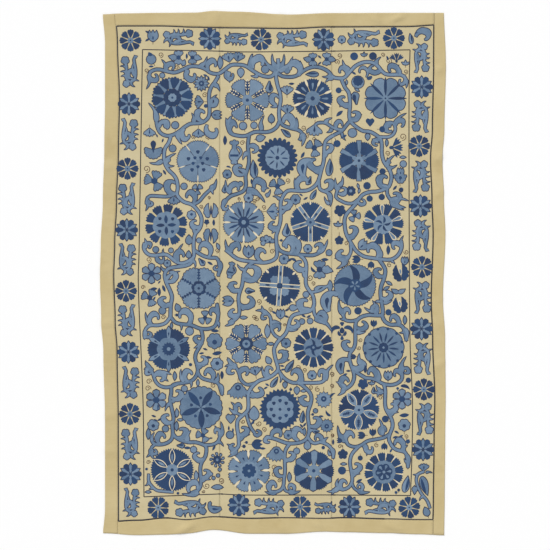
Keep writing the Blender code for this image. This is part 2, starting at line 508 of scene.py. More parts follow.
def outward(ring, closed):
    """The outward directions at the corners of a ring that runs anticlockwise."""
    steps = np.roll(ring, -1, axis=0) - ring
    lengths = np.hypot(*steps.T)[:, None]
    steps = np.where(lengths > 1e-6, steps / np.maximum(lengths, 1e-9), 0)
    along = steps + np.roll(steps, 1, axis=0)
    along = along / np.maximum(np.hypot(*along.T)[:, None], 1e-9)
    return np.stack((along[:, 1], -along[:, 0]), axis=1)


class Spot:
    """A place on the chart that a motif grows from: where it is, which way it faces and how large it is."""

    def __init__(self, across, down, turn=0, size=1, hand=1):
        self.middle = np.array((across, -down), dtype=float)
        self.turn, self.size, self.hand = turn, size, hand

    def at(self, right, up):
        """A place on the chart, from one beside and above the spot as it faces."""
        right, up = right * self.hand * self.size, up * self.size
        angle = radians(self.turn)
        return self.middle + np.array(
            (right * cos(angle) - up * sin(angle), right * sin(angle) + up * cos(angle))
        )

    def bearing(self, angle):
        """A direction on the chart, from one as the spot faces, in degrees from its right."""
        return self.turn + (angle if self.hand > 0 else 180 - angle)


# The width of a run along its length, from its root to its tip, as a share of its widest
PROFILES = {
    "leaf": lambda t: 0.28 * (1 - t) + np.sin(pi * t**0.8) ** 0.9 * (1 - 0.1 * t),
    "horn": lambda t: (1 - t) ** 0.7 * (0.62 + 0.38 * np.sin(pi * np.minimum(t * 1.8, 1))),
    "hook": lambda t: np.where(t < 0.97, 0.42 + 0.6 * np.sin(pi * np.clip(t * 1.25, 0, 1)) ** 1.3, 0.25),
    "stem": lambda t: 1 - 0.45 * t,
    "even": lambda t: 1 + 0 * t,
    "drop": lambda t: np.sqrt(np.clip(1 - ((t - 0.66) / 0.34) ** 2, 0, 1)) * (t > 0.66)
    + (t <= 0.66) * (0.12 + 0.88 * (t / 0.66) ** 1.2),
    "spear": lambda t: np.sin(pi * t) ** 0.8,
    "petal": lambda t: (t < 0.72) * (0.22 + 0.78 * (t / 0.72) ** 0.9)
    + (t >= 0.72) * np.sqrt(np.clip(1 - ((t - 0.72) / 0.28) ** 2, 0, 1)),
    "bud": lambda t: np.sin(pi * t**0.75) ** 0.7,
}


# How close the points of shapes are: of a run in steps and in degrees of its turn, of a plain rim in
# points to a step of its radius and in degrees, and of a vine in steps
RUN_SPACING = 1.3
RUN_TURN = 20
LEAST_RUN_POINTS = 6
RUN_POINTS_IN_LOBE = 5
RIM_POINTS_PER_STEP = 2.4
LEAST_RIM_POINTS = 12
FAN_TURN = 9
LEAST_FAN_POINTS = 4
VINE_SPACING = 2.4

# How many points make a disc's and a fan's lobe or tooth
DISC_LOBE_POINTS = {"scallop": 5, "saw": 2}
FAN_LOBE_POINTS = {"scallop": 4, "saw": 2}

# How far the lobes on a run's outer side swell, and how far that side is drawn in between them
LOBE_SWELL = 0.32
LOBE_DRAW = 0.12


def spine(start, heading, length, turn, bend, count):
    """The points and headings of a run that starts at a point and turns more and more."""
    share = np.linspace(0, 1, count + 1)
    headings = radians(heading) + radians(turn) * share**bend
    middle = (headings[1:] + headings[:-1]) / 2
    steps = np.stack((np.cos(middle), np.sin(middle)), axis=1) * length / count
    return share, np.concatenate(([start], start + np.cumsum(steps, axis=0))), headings


def run(work, spot, thread, start, heading, length, turn=0, width=1, profile="leaf", bend=1, lobes=0,
        level=0):
    """A run of thread from a start beside and above the spot, with its heading, length and widest width."""
    points_for_length, points_for_turn = ceil(length * spot.size / RUN_SPACING), ceil(abs(turn) / RUN_TURN)
    count = int(max(LEAST_RUN_POINTS, points_for_length, points_for_turn, lobes * RUN_POINTS_IN_LOBE))
    share, points, headings = spine(
        spot.at(*start), spot.bearing(heading), length * spot.size, turn * spot.hand, bend, count
    )
    half = PROFILES[profile](share) * width * spot.size / 2
    aside = np.stack((-np.sin(headings), np.cos(headings)), axis=1)
    scallop = 1 + (LOBE_SWELL * np.abs(np.sin(pi * lobes * share)) - LOBE_DRAW if lobes else 0)
    outer_is_right = turn * spot.hand > 0
    left_half = half * (1 if outer_is_right else scallop)
    right_half = half * (scallop if outer_is_right else 1)
    work.sew(thread, points + aside * left_half[:, None], points - aside * right_half[:, None], level)


def rim_radius(angle, count, depth, edge):
    """The share of its full radius at which a rim lies, at angles, for a count of lobes or teeth."""
    if not count:
        return 1 + 0 * angle
    phase = (angle * count / (2 * pi)) % 1
    if edge == "saw":
        return 1 - depth * np.abs(2 * phase - 1)
    return 1 - depth * (1 - np.abs(np.sin(pi * phase)) ** 0.7)


def disc(work, spot, thread, radius, count=0, depth=0.1, edge="scallop", level=0, centre=(0, 0), turn=0):
    """A round shape of threads that run out from its middle, with a plain, scalloped or toothed rim."""
    steps = max(LEAST_RIM_POINTS, int(radius * spot.size * RIM_POINTS_PER_STEP))
    if count:
        steps = count * DISC_LOBE_POINTS[edge]
    angle = np.linspace(0, 2 * pi, steps + 1)
    reach = radius * spot.size * rim_radius(angle, count, depth, edge)
    facing = angle + radians(spot.turn + turn * spot.hand + 90)
    middle = spot.at(*centre)
    rim = middle + np.stack((np.cos(facing), np.sin(facing)), axis=1) * reach[:, None]
    hub = np.broadcast_to(middle, rim.shape).copy()
    work.sew(thread, hub, rim, level, "broad", radial=True, closed=True)


def fan(work, spot, thread, inner, outer, spread, facing=0, count=0, depth=0.1, edge="scallop", level=0,
        root_spread=None, centre=(0, 0), rounding=0.0):
    """Part of a disc between two radii, spread over an angle, with a plain or worked outer edge.
    Rounding is how much nearer the middle its outer corners are, as a share of the radius."""
    root_spread = spread if root_spread is None else root_spread
    steps = count * FAN_LOBE_POINTS[edge] if count else max(LEAST_FAN_POINTS, int(spread / FAN_TURN))
    share = np.linspace(0, 1, steps + 1)
    rim = rim_radius(share * 2 * pi, count, depth, edge) - rounding * np.abs(2 * share - 1) ** 3
    middle = spot.at(*centre)
    base = radians(spot.turn + facing * spot.hand + 90)

    def ring(width, radius):
        angle = base + radians(width) * (share - 0.5)
        return middle + np.stack((np.cos(angle), np.sin(angle)), axis=1) * radius[:, None] * spot.size

    inside, outside = ring(root_spread, inner + 0 * share), ring(spread, outer * rim)
    work.sew(thread, inside, outside, level, "broad", radial=True)


def to_the_left(points):
    """The directions square to a line at its points, towards its left."""
    steps = np.gradient(points, axis=0)
    return np.stack((-steps[:, 1], steps[:, 0]), axis=1) / np.hypot(*steps.T)[:, None]


def line(work, thread, points, width, height=PAD_CREST):
    """A line of chain stitches through points on the chart."""
    half = to_the_left(points) * width / 2
    work.lay(thread, points + half, points - half, "line", height, height, work.dice.uniform())


def curve_through(places, spacing):
    """Points at about a spacing on a smooth curve through places on the chart, given across and down."""
    knots = np.array(places, dtype=float) * (1, -1)
    ends = np.concatenate((2 * knots[:1] - knots[1:2], knots, 2 * knots[-1:] - knots[-2:-1]))
    points = []
    for a, b, c, d in zip(ends, ends[1:], ends[2:], ends[3:]):
        slope, bend, twist = c - a, 2 * a - 5 * b + 4 * c - d, 3 * b - a - 3 * c + d
        count = max(1, round(hypot(*(c - b)) / spacing))
        for t in np.arange(count) / count:
            points.append(0.5 * (2 * b + slope * t + bend * t**2 + twist * t**3))
    return np.array(points + [knots[-1]])


# Small motifs, each drawn facing up and about two across, so that its size is its radius in steps

STEM_WIDTH = 0.8
TENDRIL_WIDTH = 0.95
TENDRIL_TURNS = 1.35


def ring_of(count):
    """The turns of things set evenly round a middle."""
    return [360 * k / count for k in range(count)]


def spot_ring(radius, turn):
    """The place on a ring round a spot, at a turn from straight above it."""
    return (-radius * sin(radians(turn)), radius * cos(radians(turn)))


def stem(work, spot, down, length):
    """A thin stitched stem, from below a motif."""
    top, bottom = spot.at(0, -down), spot.at(0, -down - length)
    share = np.linspace(0, 1, 4)[:, None]
    line(work, "tendril", top + (bottom - top) * share, STEM_WIDTH, STEM_CREST)


def berry(work, spot, thread="light"):
    stem(work, spot, 0.9, 0.8)
    disc(work, spot, thread, 1)


def seed(work, spot):
    berry(work, spot, "dark")


def bead(work, spot):
    disc(work, spot, "dark", 1)


def heart(work, spot, thread="light"):
    for side in (-1, 1):
        run(work, spot, thread, (0, -1), 90 - 26 * side, 2, 20 * side, 1.15, "drop")


def dark_heart(work, spot):
    heart(work, spot, "dark")


def bud(work, spot, thread="light"):
    stem(work, spot, 0.9, 0.7)
    run(work, spot, thread, (0, -1), 90, 2.1, 0, 1.5, "bud")


def dark_bud(work, spot):
    bud(work, spot, "dark")


def leaf(work, spot, thread="light"):
    run(work, spot, thread, (0, -1), 84, 2, 12, 0.8, "spear")


def dark_leaf(work, spot):
    leaf(work, spot, "dark")


def drop(work, spot):
    """A drop with its tip up, dark down one side."""
    run(work, spot, "light", (0, 1), -95, 2, 10, 1.25, "drop")
    run(work, spot, "dark", (0.08, 0.95), -82, 1.7, -14, 0.62, "drop", level=1)


def clover(work, spot, thread="light"):
    stem(work, spot, 0.5, 1.1)
    for turn in (-75, 0, 75):
        run(work, spot, thread, (0, -0.2), 90 + turn, 1.2, 0, 0.95, "petal")
    disc(work, spot, "dark", 0.26, level=1, centre=(0, -0.2))


def dark_clover(work, spot):
    stem(work, spot, 0.8, 1)
    disc(work, spot, "dark", 1, 5, 0.24)


def tulip(work, spot, thread="light"):
    """A cup with three points."""
    stem(work, spot, 0.8, 0.8)
    for turn, width in ((-24, 0.75), (24, 0.75), (0, 0.9)):
        run(work, spot, thread, (turn / 90, -0.7), 90 - turn, 1.7, turn * 0.9, width, "leaf")
    run(work, spot, thread, (0, -1), 90, 1.2, 0, 1.15, "bud")
    if thread == "light":
        run(work, spot, "dark", (0, -0.75), 90, 0.75, 0, 0.3, "spear", level=1)


def dark_tulip(work, spot):
    tulip(work, spot, "dark")


def palmette(work, spot):
    """A fan of five lobes round a dark drop."""
    stem(work, spot, 1, 0.7)
    fan(work, spot, "light", 0, 1.85, 104, 0, 5, 0.2, centre=(0, -0.9))
    run(work, spot, "dark", (0, -0.8), 90, 1.2, 0, 0.36, "drop", level=1)


def twin_leaves(work, spot):
    """Two saw-edged leaves either side of a dark spindle."""
    for side in (-1, 1):
        run(work, spot, "light", (0.3 * side, -0.95), 90 - 34 * side, 2, 62 * side, 0.62, "leaf", lobes=4)
    run(work, spot, "dark", (0, -0.7), 90, 1.5, 0, 0.26, "spear")


def dark_palmette(work, spot):
    """Two dark saw-edged leaves round a pale eye."""
    for side in (-1, 1):
        run(work, spot, "dark", (0.1 * side, -0.95), 90 - 42 * side, 2.1, 72 * side, 0.72, "leaf", lobes=5)
    run(work, spot, "pale", (0, -0.35), 90, 0.95, 0, 0.42, "spear")
    run(work, spot, "light", (0, -0.2), 90, 0.66, 0, 0.22, "spear", level=1)


def flower(work, spot):
    """A scalloped round flower with a dark heart."""
    stem(work, spot, 1, 0.6)
    disc(work, spot, "light", 1, 7, 0.16)
    disc(work, spot, "dark", 0.32, level=1, centre=(0, -0.15))


def saw_flower(work, spot):
    """A round flower with a toothed rim and a dark heart."""
    stem(work, spot, 1, 0.6)
    disc(work, spot, "light", 1, 13, 0.24, "saw")
    disc(work, spot, "dark", 0.36, level=1, centre=(0, -0.1))
    disc(work, spot, "light", 0.12, level=2, centre=(0, -0.1))


def lobed_flower(work, spot):
    """Six separate light petals round a dark heart."""
    for turn in ring_of(6):
        run(work, spot, "light", spot_ring(0.22, turn), turn + 90, 0.8, 0, 0.66, "petal")
    disc(work, spot, "dark", 0.34, 8, 0.2, level=1)


def dark_flower(work, spot):
    disc(work, spot, "dark", 1, 8, 0.16)
    disc(work, spot, "light", 0.3, level=1)


def crown(work, spot):
    """A flower with a toothed crown, a dark ringed eye and one long sepal."""
    stem(work, spot, 1, 0.5)
    fan(work, spot, "light", 0, 1.8, 110, 0, 7, 0.16, "saw", centre=(0, -0.75))
    run(work, spot, "light", (-0.35, -0.4), 150, 1.5, -50, 0.5, "horn")
    run(work, spot, "light", (0.4, -0.4), 30, 0.9, 30, 0.45, "horn")
    disc(work, spot, "light", 0.62, centre=(0, -0.3))
    disc(work, spot, "dark", 0.36, level=1, centre=(0, -0.35))
    disc(work, spot, "light", 0.16, level=2, centre=(0, -0.35))


def paisley(work, spot):
    """A drop whose tip curls over, with a dark kernel."""
    run(work, spot, "light", (0.1, -1), 112, 2.9, -165, 1.05, "hook", 1.9)
    run(work, spot, "dark", (0.02, -0.7), 108, 1.2, -40, 0.42, "drop", level=1)


def dark_carnation(work, spot):
    """A fan of toothed petals from a narrow cup."""
    for turn in (-46, 0, 46):
        fan(work, spot, "dark", 0.2, 1.7, 40, turn, 3, 0.2, "saw", root_spread=10, centre=(0, -0.8))
    run(work, spot, "dark", (0, -1.15), 90, 0.8, 0, 0.5, "bud")


def pitcher(work, spot):
    """A flower shaped like a jug, with a dark band, a foot and a handle."""
    run(work, spot, "light", (0, -1), 90, 1.3, 0, 0.9, "bud")
    run(work, spot, "light", (0, -0.1), 90, 0.7, 0, 0.34, "even")
    fan(work, spot, "light", 0, 0.5, 130, 0, 3, 0.2, centre=(0, 0.45))
    run(work, spot, "light", (0.3, -0.6), 20, 1.3, 150, 0.16, "stem")
    run(work, spot, "dark", (-0.38, -0.45), 0, 0.76, 0, 0.2, "even", level=1)
    fan(work, spot, "light", 0, 0.4, 120, 180, 2, 0.2, centre=(0, -0.85))


def sprig(work, spot):
    """Three small light leaves on a thin stem."""
    stem(work, spot, 0, 1)
    for turn in (-58, 0, 58):
        run(work, spot, "light", (0, -0.2), 90 - turn, 1.15, 0, 0.5, "spear")


def trefoil(work, spot):
    """Three wide scalloped petals round a dark heart."""
    for turn in (48, -48, 180):
        fan(work, spot, "light", 0.1, 1.05, 66, turn, 4, 0.14, root_spread=30)
    disc(work, spot, "dark", 0.36, 6, 0.2, level=1)


def half_leaf(work, spot):
    """A long leaf with its tip up, dark down one side."""
    run(work, spot, "light", (0, -1), 86, 2, 8, 0.72, "leaf")
    run(work, spot, "dark", (0.14, -0.9), 86, 1.75, 8, 0.34, "spear", level=1)


def cupped_bud(work, spot):
    """A long dark bud that stands in a wide scalloped cup."""
    fan(work, spot, "light", 0, 1, 215, 180, 9, 0.1, centre=(0, -0.05))
    run(work, spot, "dark", (0, -0.35), 90, 1.4, 0, 0.64, "drop", level=1)


def star_flower(work, spot):
    """Many thin light points round a dark disc."""
    for turn in ring_of(12):
        run(work, spot, "light", spot_ring(0.3, turn), turn + 90, 0.7, 0, 0.3, "spear")
    disc(work, spot, "dark", 0.36, level=1)
    disc(work, spot, "light", 0.14, level=2)


def eyed_flower(work, spot):
    """A lobe above and below a dark eye, and one pointed leaf to the left."""
    for facing in (0, 180):
        fan(work, spot, "light", 0, 1.1, 92, facing, 3, 0.16)
    run(work, spot, "light", (-0.3, 0), 180, 1.3, -20, 0.75, "leaf", lobes=3)
    disc(work, spot, "dark", 0.36, level=1)


def round_paisley(work, spot):
    """A round dark paisley with a light rim below and a light spiral for its tip."""
    disc(work, spot, "light", 0.86, 0, centre=(-0.1, -0.25))
    disc(work, spot, "dark", 0.72, 9, 0.1, level=1, centre=(-0.1, -0.08))
    run(work, spot, "light", (0.55, -0.6), 70, 3.2, 290, 0.5, "hook")


def bow(work, spot):
    """Two leaves spread like a bow."""
    for side in (-1, 1):
        run(work, spot, "light", (0, 0), 90 - 80 * side, 1.05, 30 * side, 0.5, "leaf")


def dark_iris(work, spot):
    """A dark flower with open side petals and a foot."""
    for side in (-1, 1):
        run(work, spot, "dark", (0.25 * side, 0.3), 90 - 50 * side, 1.5, -150 * side, 0.42, "leaf")
        run(work, spot, "dark", (0.1 * side, -0.5), 90 - 75 * side, 0.7, 90 * side, 0.32, "leaf")
    run(work, spot, "dark", (0, -0.3), 90, 0.75, 0, 0.6, "bud")
    run(work, spot, "dark", (0, -0.4), -90, 0.7, 0, 0.4, "drop")
    disc(work, spot, "dark", 0.26, 3, 0.3, centre=(0, 0.85))


def thistle(work, spot):
    """A dark round head in a ring of small light curls."""
    disc(work, spot, "dark", 0.62, 10, 0.12)
    disc(work, spot, "light", 0.2, level=1)
    for turn in ring_of(9):
        run(work, spot, "light", spot_ring(0.66, turn), turn + 90, 0.36, 60, 0.26, "petal")


def tendril(work, spot):
    """A thin thread that winds into a spiral."""
    share = np.linspace(0, 1, 24)
    angle = radians(-100) + share * 2 * pi * TENDRIL_TURNS
    reach = 1.1 - 0.84 * share
    points = np.stack((reach * np.cos(angle), reach * np.sin(angle)), axis=1)
    line(work, "tendril", np.array([spot.at(*point) for point in points]), TENDRIL_WIDTH)


def comma(work, spot):
    """A dark crescent leaf."""
    run(work, spot, "dark", (-0.6, -0.75), 80, 2.1, -80, 0.62, "leaf")


# Leaves and vines

# A curled leaf: the open eye that it winds round in steps, how far round it goes in degrees, how near
# its tip is to the eye as a share of its reach, its width at the root and at the widest as shares, and
# where it starts to narrow to its tip and by how much
CURL_EYE = 1.8
CURL_LEAST_HALF = 0.2
CURL_SWEEP = 265
CURL_CLOSING = 0.36
CURL_ROOT = 0.4
CURL_SWELL = 0.62
CURL_TIP_START = 0.86
CURL_TIP_NARROWING = 0.5
CURL_LOBES = 3
CURL_LOBE_SWELL = 0.3
CURL_TURN = 17
LEAST_CURL_POINTS = 14

# How far a pointed leaf bows as a share of its length, and how close its points are
HORN_BOW = 0.13
HORN_SPACING = 1.4
LEAST_HORN_POINTS = 8


def curl(work, base, eye, hand, width, sweep=CURL_SWEEP, lobes=CURL_LOBES):
    """A leaf that leaves a vine at its base and winds round an eye, anticlockwise if its hand is 1."""
    base, eye = np.array(base) * (1, -1), np.array(eye) * (1, -1)
    away = base - eye
    reach, start = hypot(*away), atan2(away[1], away[0])
    count = int(max(LEAST_CURL_POINTS, sweep / CURL_TURN))
    share = np.linspace(0, 1, count + 1)
    angle = start + hand * radians(sweep) * share
    radius = reach * (CURL_CLOSING + (1 - CURL_CLOSING) * (1 - share) ** 2)
    points = eye + np.stack((np.cos(angle), np.sin(angle)), axis=1) * radius[:, None]
    aside = to_the_left(points)
    half = width / 2 * (CURL_ROOT + CURL_SWELL * np.sin(pi * np.clip(share * 1.25, 0, 1)) ** 1.2)
    tip_share = np.clip((share - CURL_TIP_START) / (1 - CURL_TIP_START), 0, 1)
    half *= 1 - CURL_TIP_NARROWING * tip_share**2
    outer = half * (1 + CURL_LOBE_SWELL * np.abs(np.sin(pi * lobes * share)) * np.sin(pi * share))
    inner = np.minimum(half, np.maximum(radius - CURL_EYE, CURL_LEAST_HALF))
    left, right = (inner, outer) if hand > 0 else (outer, inner)
    work.sew("light", points + aside * left[:, None], points - aside * right[:, None])


def horn(work, base, tip, bow_out, width):
    """A pointed leaf from its base to its tip, bowed to its left by a share of its length."""
    base, tip = np.array(base) * (1, -1), np.array(tip) * (1, -1)
    along = tip - base
    length = hypot(*along)
    aside = np.array((-along[1], along[0])) / length
    share = np.linspace(0, 1, max(LEAST_HORN_POINTS, round(length / HORN_SPACING)) + 1)
    points = base + along * share[:, None] + aside * (bow_out * length * np.sin(pi * share))[:, None]
    half = to_the_left(points) * (PROFILES["horn"](share) * width / 2)[:, None]
    work.sew("light", points + half, points - half)


def vine(work, places, width):
    """A ribbon of laid thread with an outline, through places on the chart, cut where it meets a seam."""
    points = curve_through(places, VINE_SPACING)
    half = to_the_left(points) * width / 2
    panels = np.searchsorted((FIRST_SEAM_ACROSS, SECOND_SEAM_ACROSS), points[:, 0])
    cuts = [0, *np.flatnonzero(np.diff(panels)), len(points) - 1]
    for start, end in zip(cuts, cuts[1:]):
        if end > start:
            span = slice(start, end + 1)
            work.sew("light", points[span] + half[span], points[span] - half[span])


# Rosettes: each design is made of layers, from the outside in, for a rosette of 20 steps' radius.
# A layer has a form, a thread, how many shapes of that form it has, the radii at which they start and
# end, their width, their turn, the teeth or lobes of each one's edge, and the level that they lie at.
# A width is in degrees for fans, a share of the radius cut into a disc's or gear's rim, and otherwise
# in steps.

DESIGN_RADIUS = 20

Layer = namedtuple("Layer", "form thread count inner outer width turn teeth level")
Rosette = namedtuple("Rosette", "across down radius turn design")

# The forms: the rim of each round one, the outer edge, depth of teeth, rounding and root of each
# fan-shaped one, and the profile of each long one
FanForm = namedtuple("FanForm", "edge depth rounding root_share")

DISC_FORMS = {"disc": "scallop", "gear": "saw"}
FAN_FORMS = {
    "fans": FanForm("saw", 0.06, 0.06, 0.95),
    "hearts": FanForm("scallop", 0.07, 0.14, 0.5),
    "wedges": FanForm("saw", 0.06, 0.06, 0.35),
    "lobes": FanForm("scallop", 0.0, 0.2, 0.95),
}
RUN_FORMS = {"petals": "petal", "spears": "spear", "drops": "drop", "strips": "even"}

DOT_TEETH_DEPTH = 0.2
SWIRL_LEAN = 28
SWIRL_TURN = 92

# A feather's barbs: where along its rib, how they lean, their width, and its rib's width as a share
BARB_SHARES = (0.2, 0.4, 0.6, 0.78)
BARB_LEAN = 48
BARB_WIDTH = 1.2
RIB_WIDTH = 0.5


def rosette(work, spot, design):
    """All the layers of a design, with each layer's shapes set evenly round the spot."""
    for layer in DESIGNS[design]:
        for turn in ring_of(layer.count):
            layer_shape(work, spot, layer, turn + layer.turn)


def layer_shape(work, spot, layer, turn):
    """One of a layer's shapes, at a turn round the spot."""
    thread, width, teeth, level = layer.thread, layer.width, layer.teeth, layer.level
    root, length = spot_ring(layer.inner, turn), layer.outer - layer.inner
    if layer.form in DISC_FORMS:
        disc(work, spot, thread, layer.outer, teeth, width, DISC_FORMS[layer.form], level, turn=turn)
    elif layer.form in FAN_FORMS:
        edge, depth, rounding, root_share = FAN_FORMS[layer.form]
        fan(work, spot, thread, layer.inner, layer.outer, width, turn, teeth, depth, edge, level,
            root_spread=width * root_share, rounding=rounding)
    elif layer.form in RUN_FORMS:
        profile = RUN_FORMS[layer.form]
        run(work, spot, thread, root, turn + 90, length, 0, width, profile, lobes=teeth, level=level)
    elif layer.form == "feathers":
        feather(work, spot, layer, turn)
    elif layer.form == "swirls":
        run(work, spot, thread, root, turn + 90 - SWIRL_LEAN, length, SWIRL_TURN, width, level=level)
    elif layer.form == "dots":
        centre = spot_ring(layer.outer, turn)
        disc(work, spot, thread, width, teeth, DOT_TEETH_DEPTH, level=level, centre=centre)


def feather(work, spot, layer, turn):
    """A dark rib with short barbs on both sides."""
    root, length = spot_ring(layer.inner, turn), layer.outer - layer.inner
    rib_width = layer.width * RIB_WIDTH
    run(work, spot, layer.thread, root, turn + 90, length, 0, rib_width, "spear", level=layer.level)
    for share in BARB_SHARES:
        root = spot_ring(layer.inner + share * length, turn)
        barb = layer.width * (1.1 - share * 0.5)
        for side in (-1, 1):
            heading = turn + 90 - BARB_LEAN * side
            run(work, spot, layer.thread, root, heading, barb, 0, BARB_WIDTH, "spear", level=layer.level)


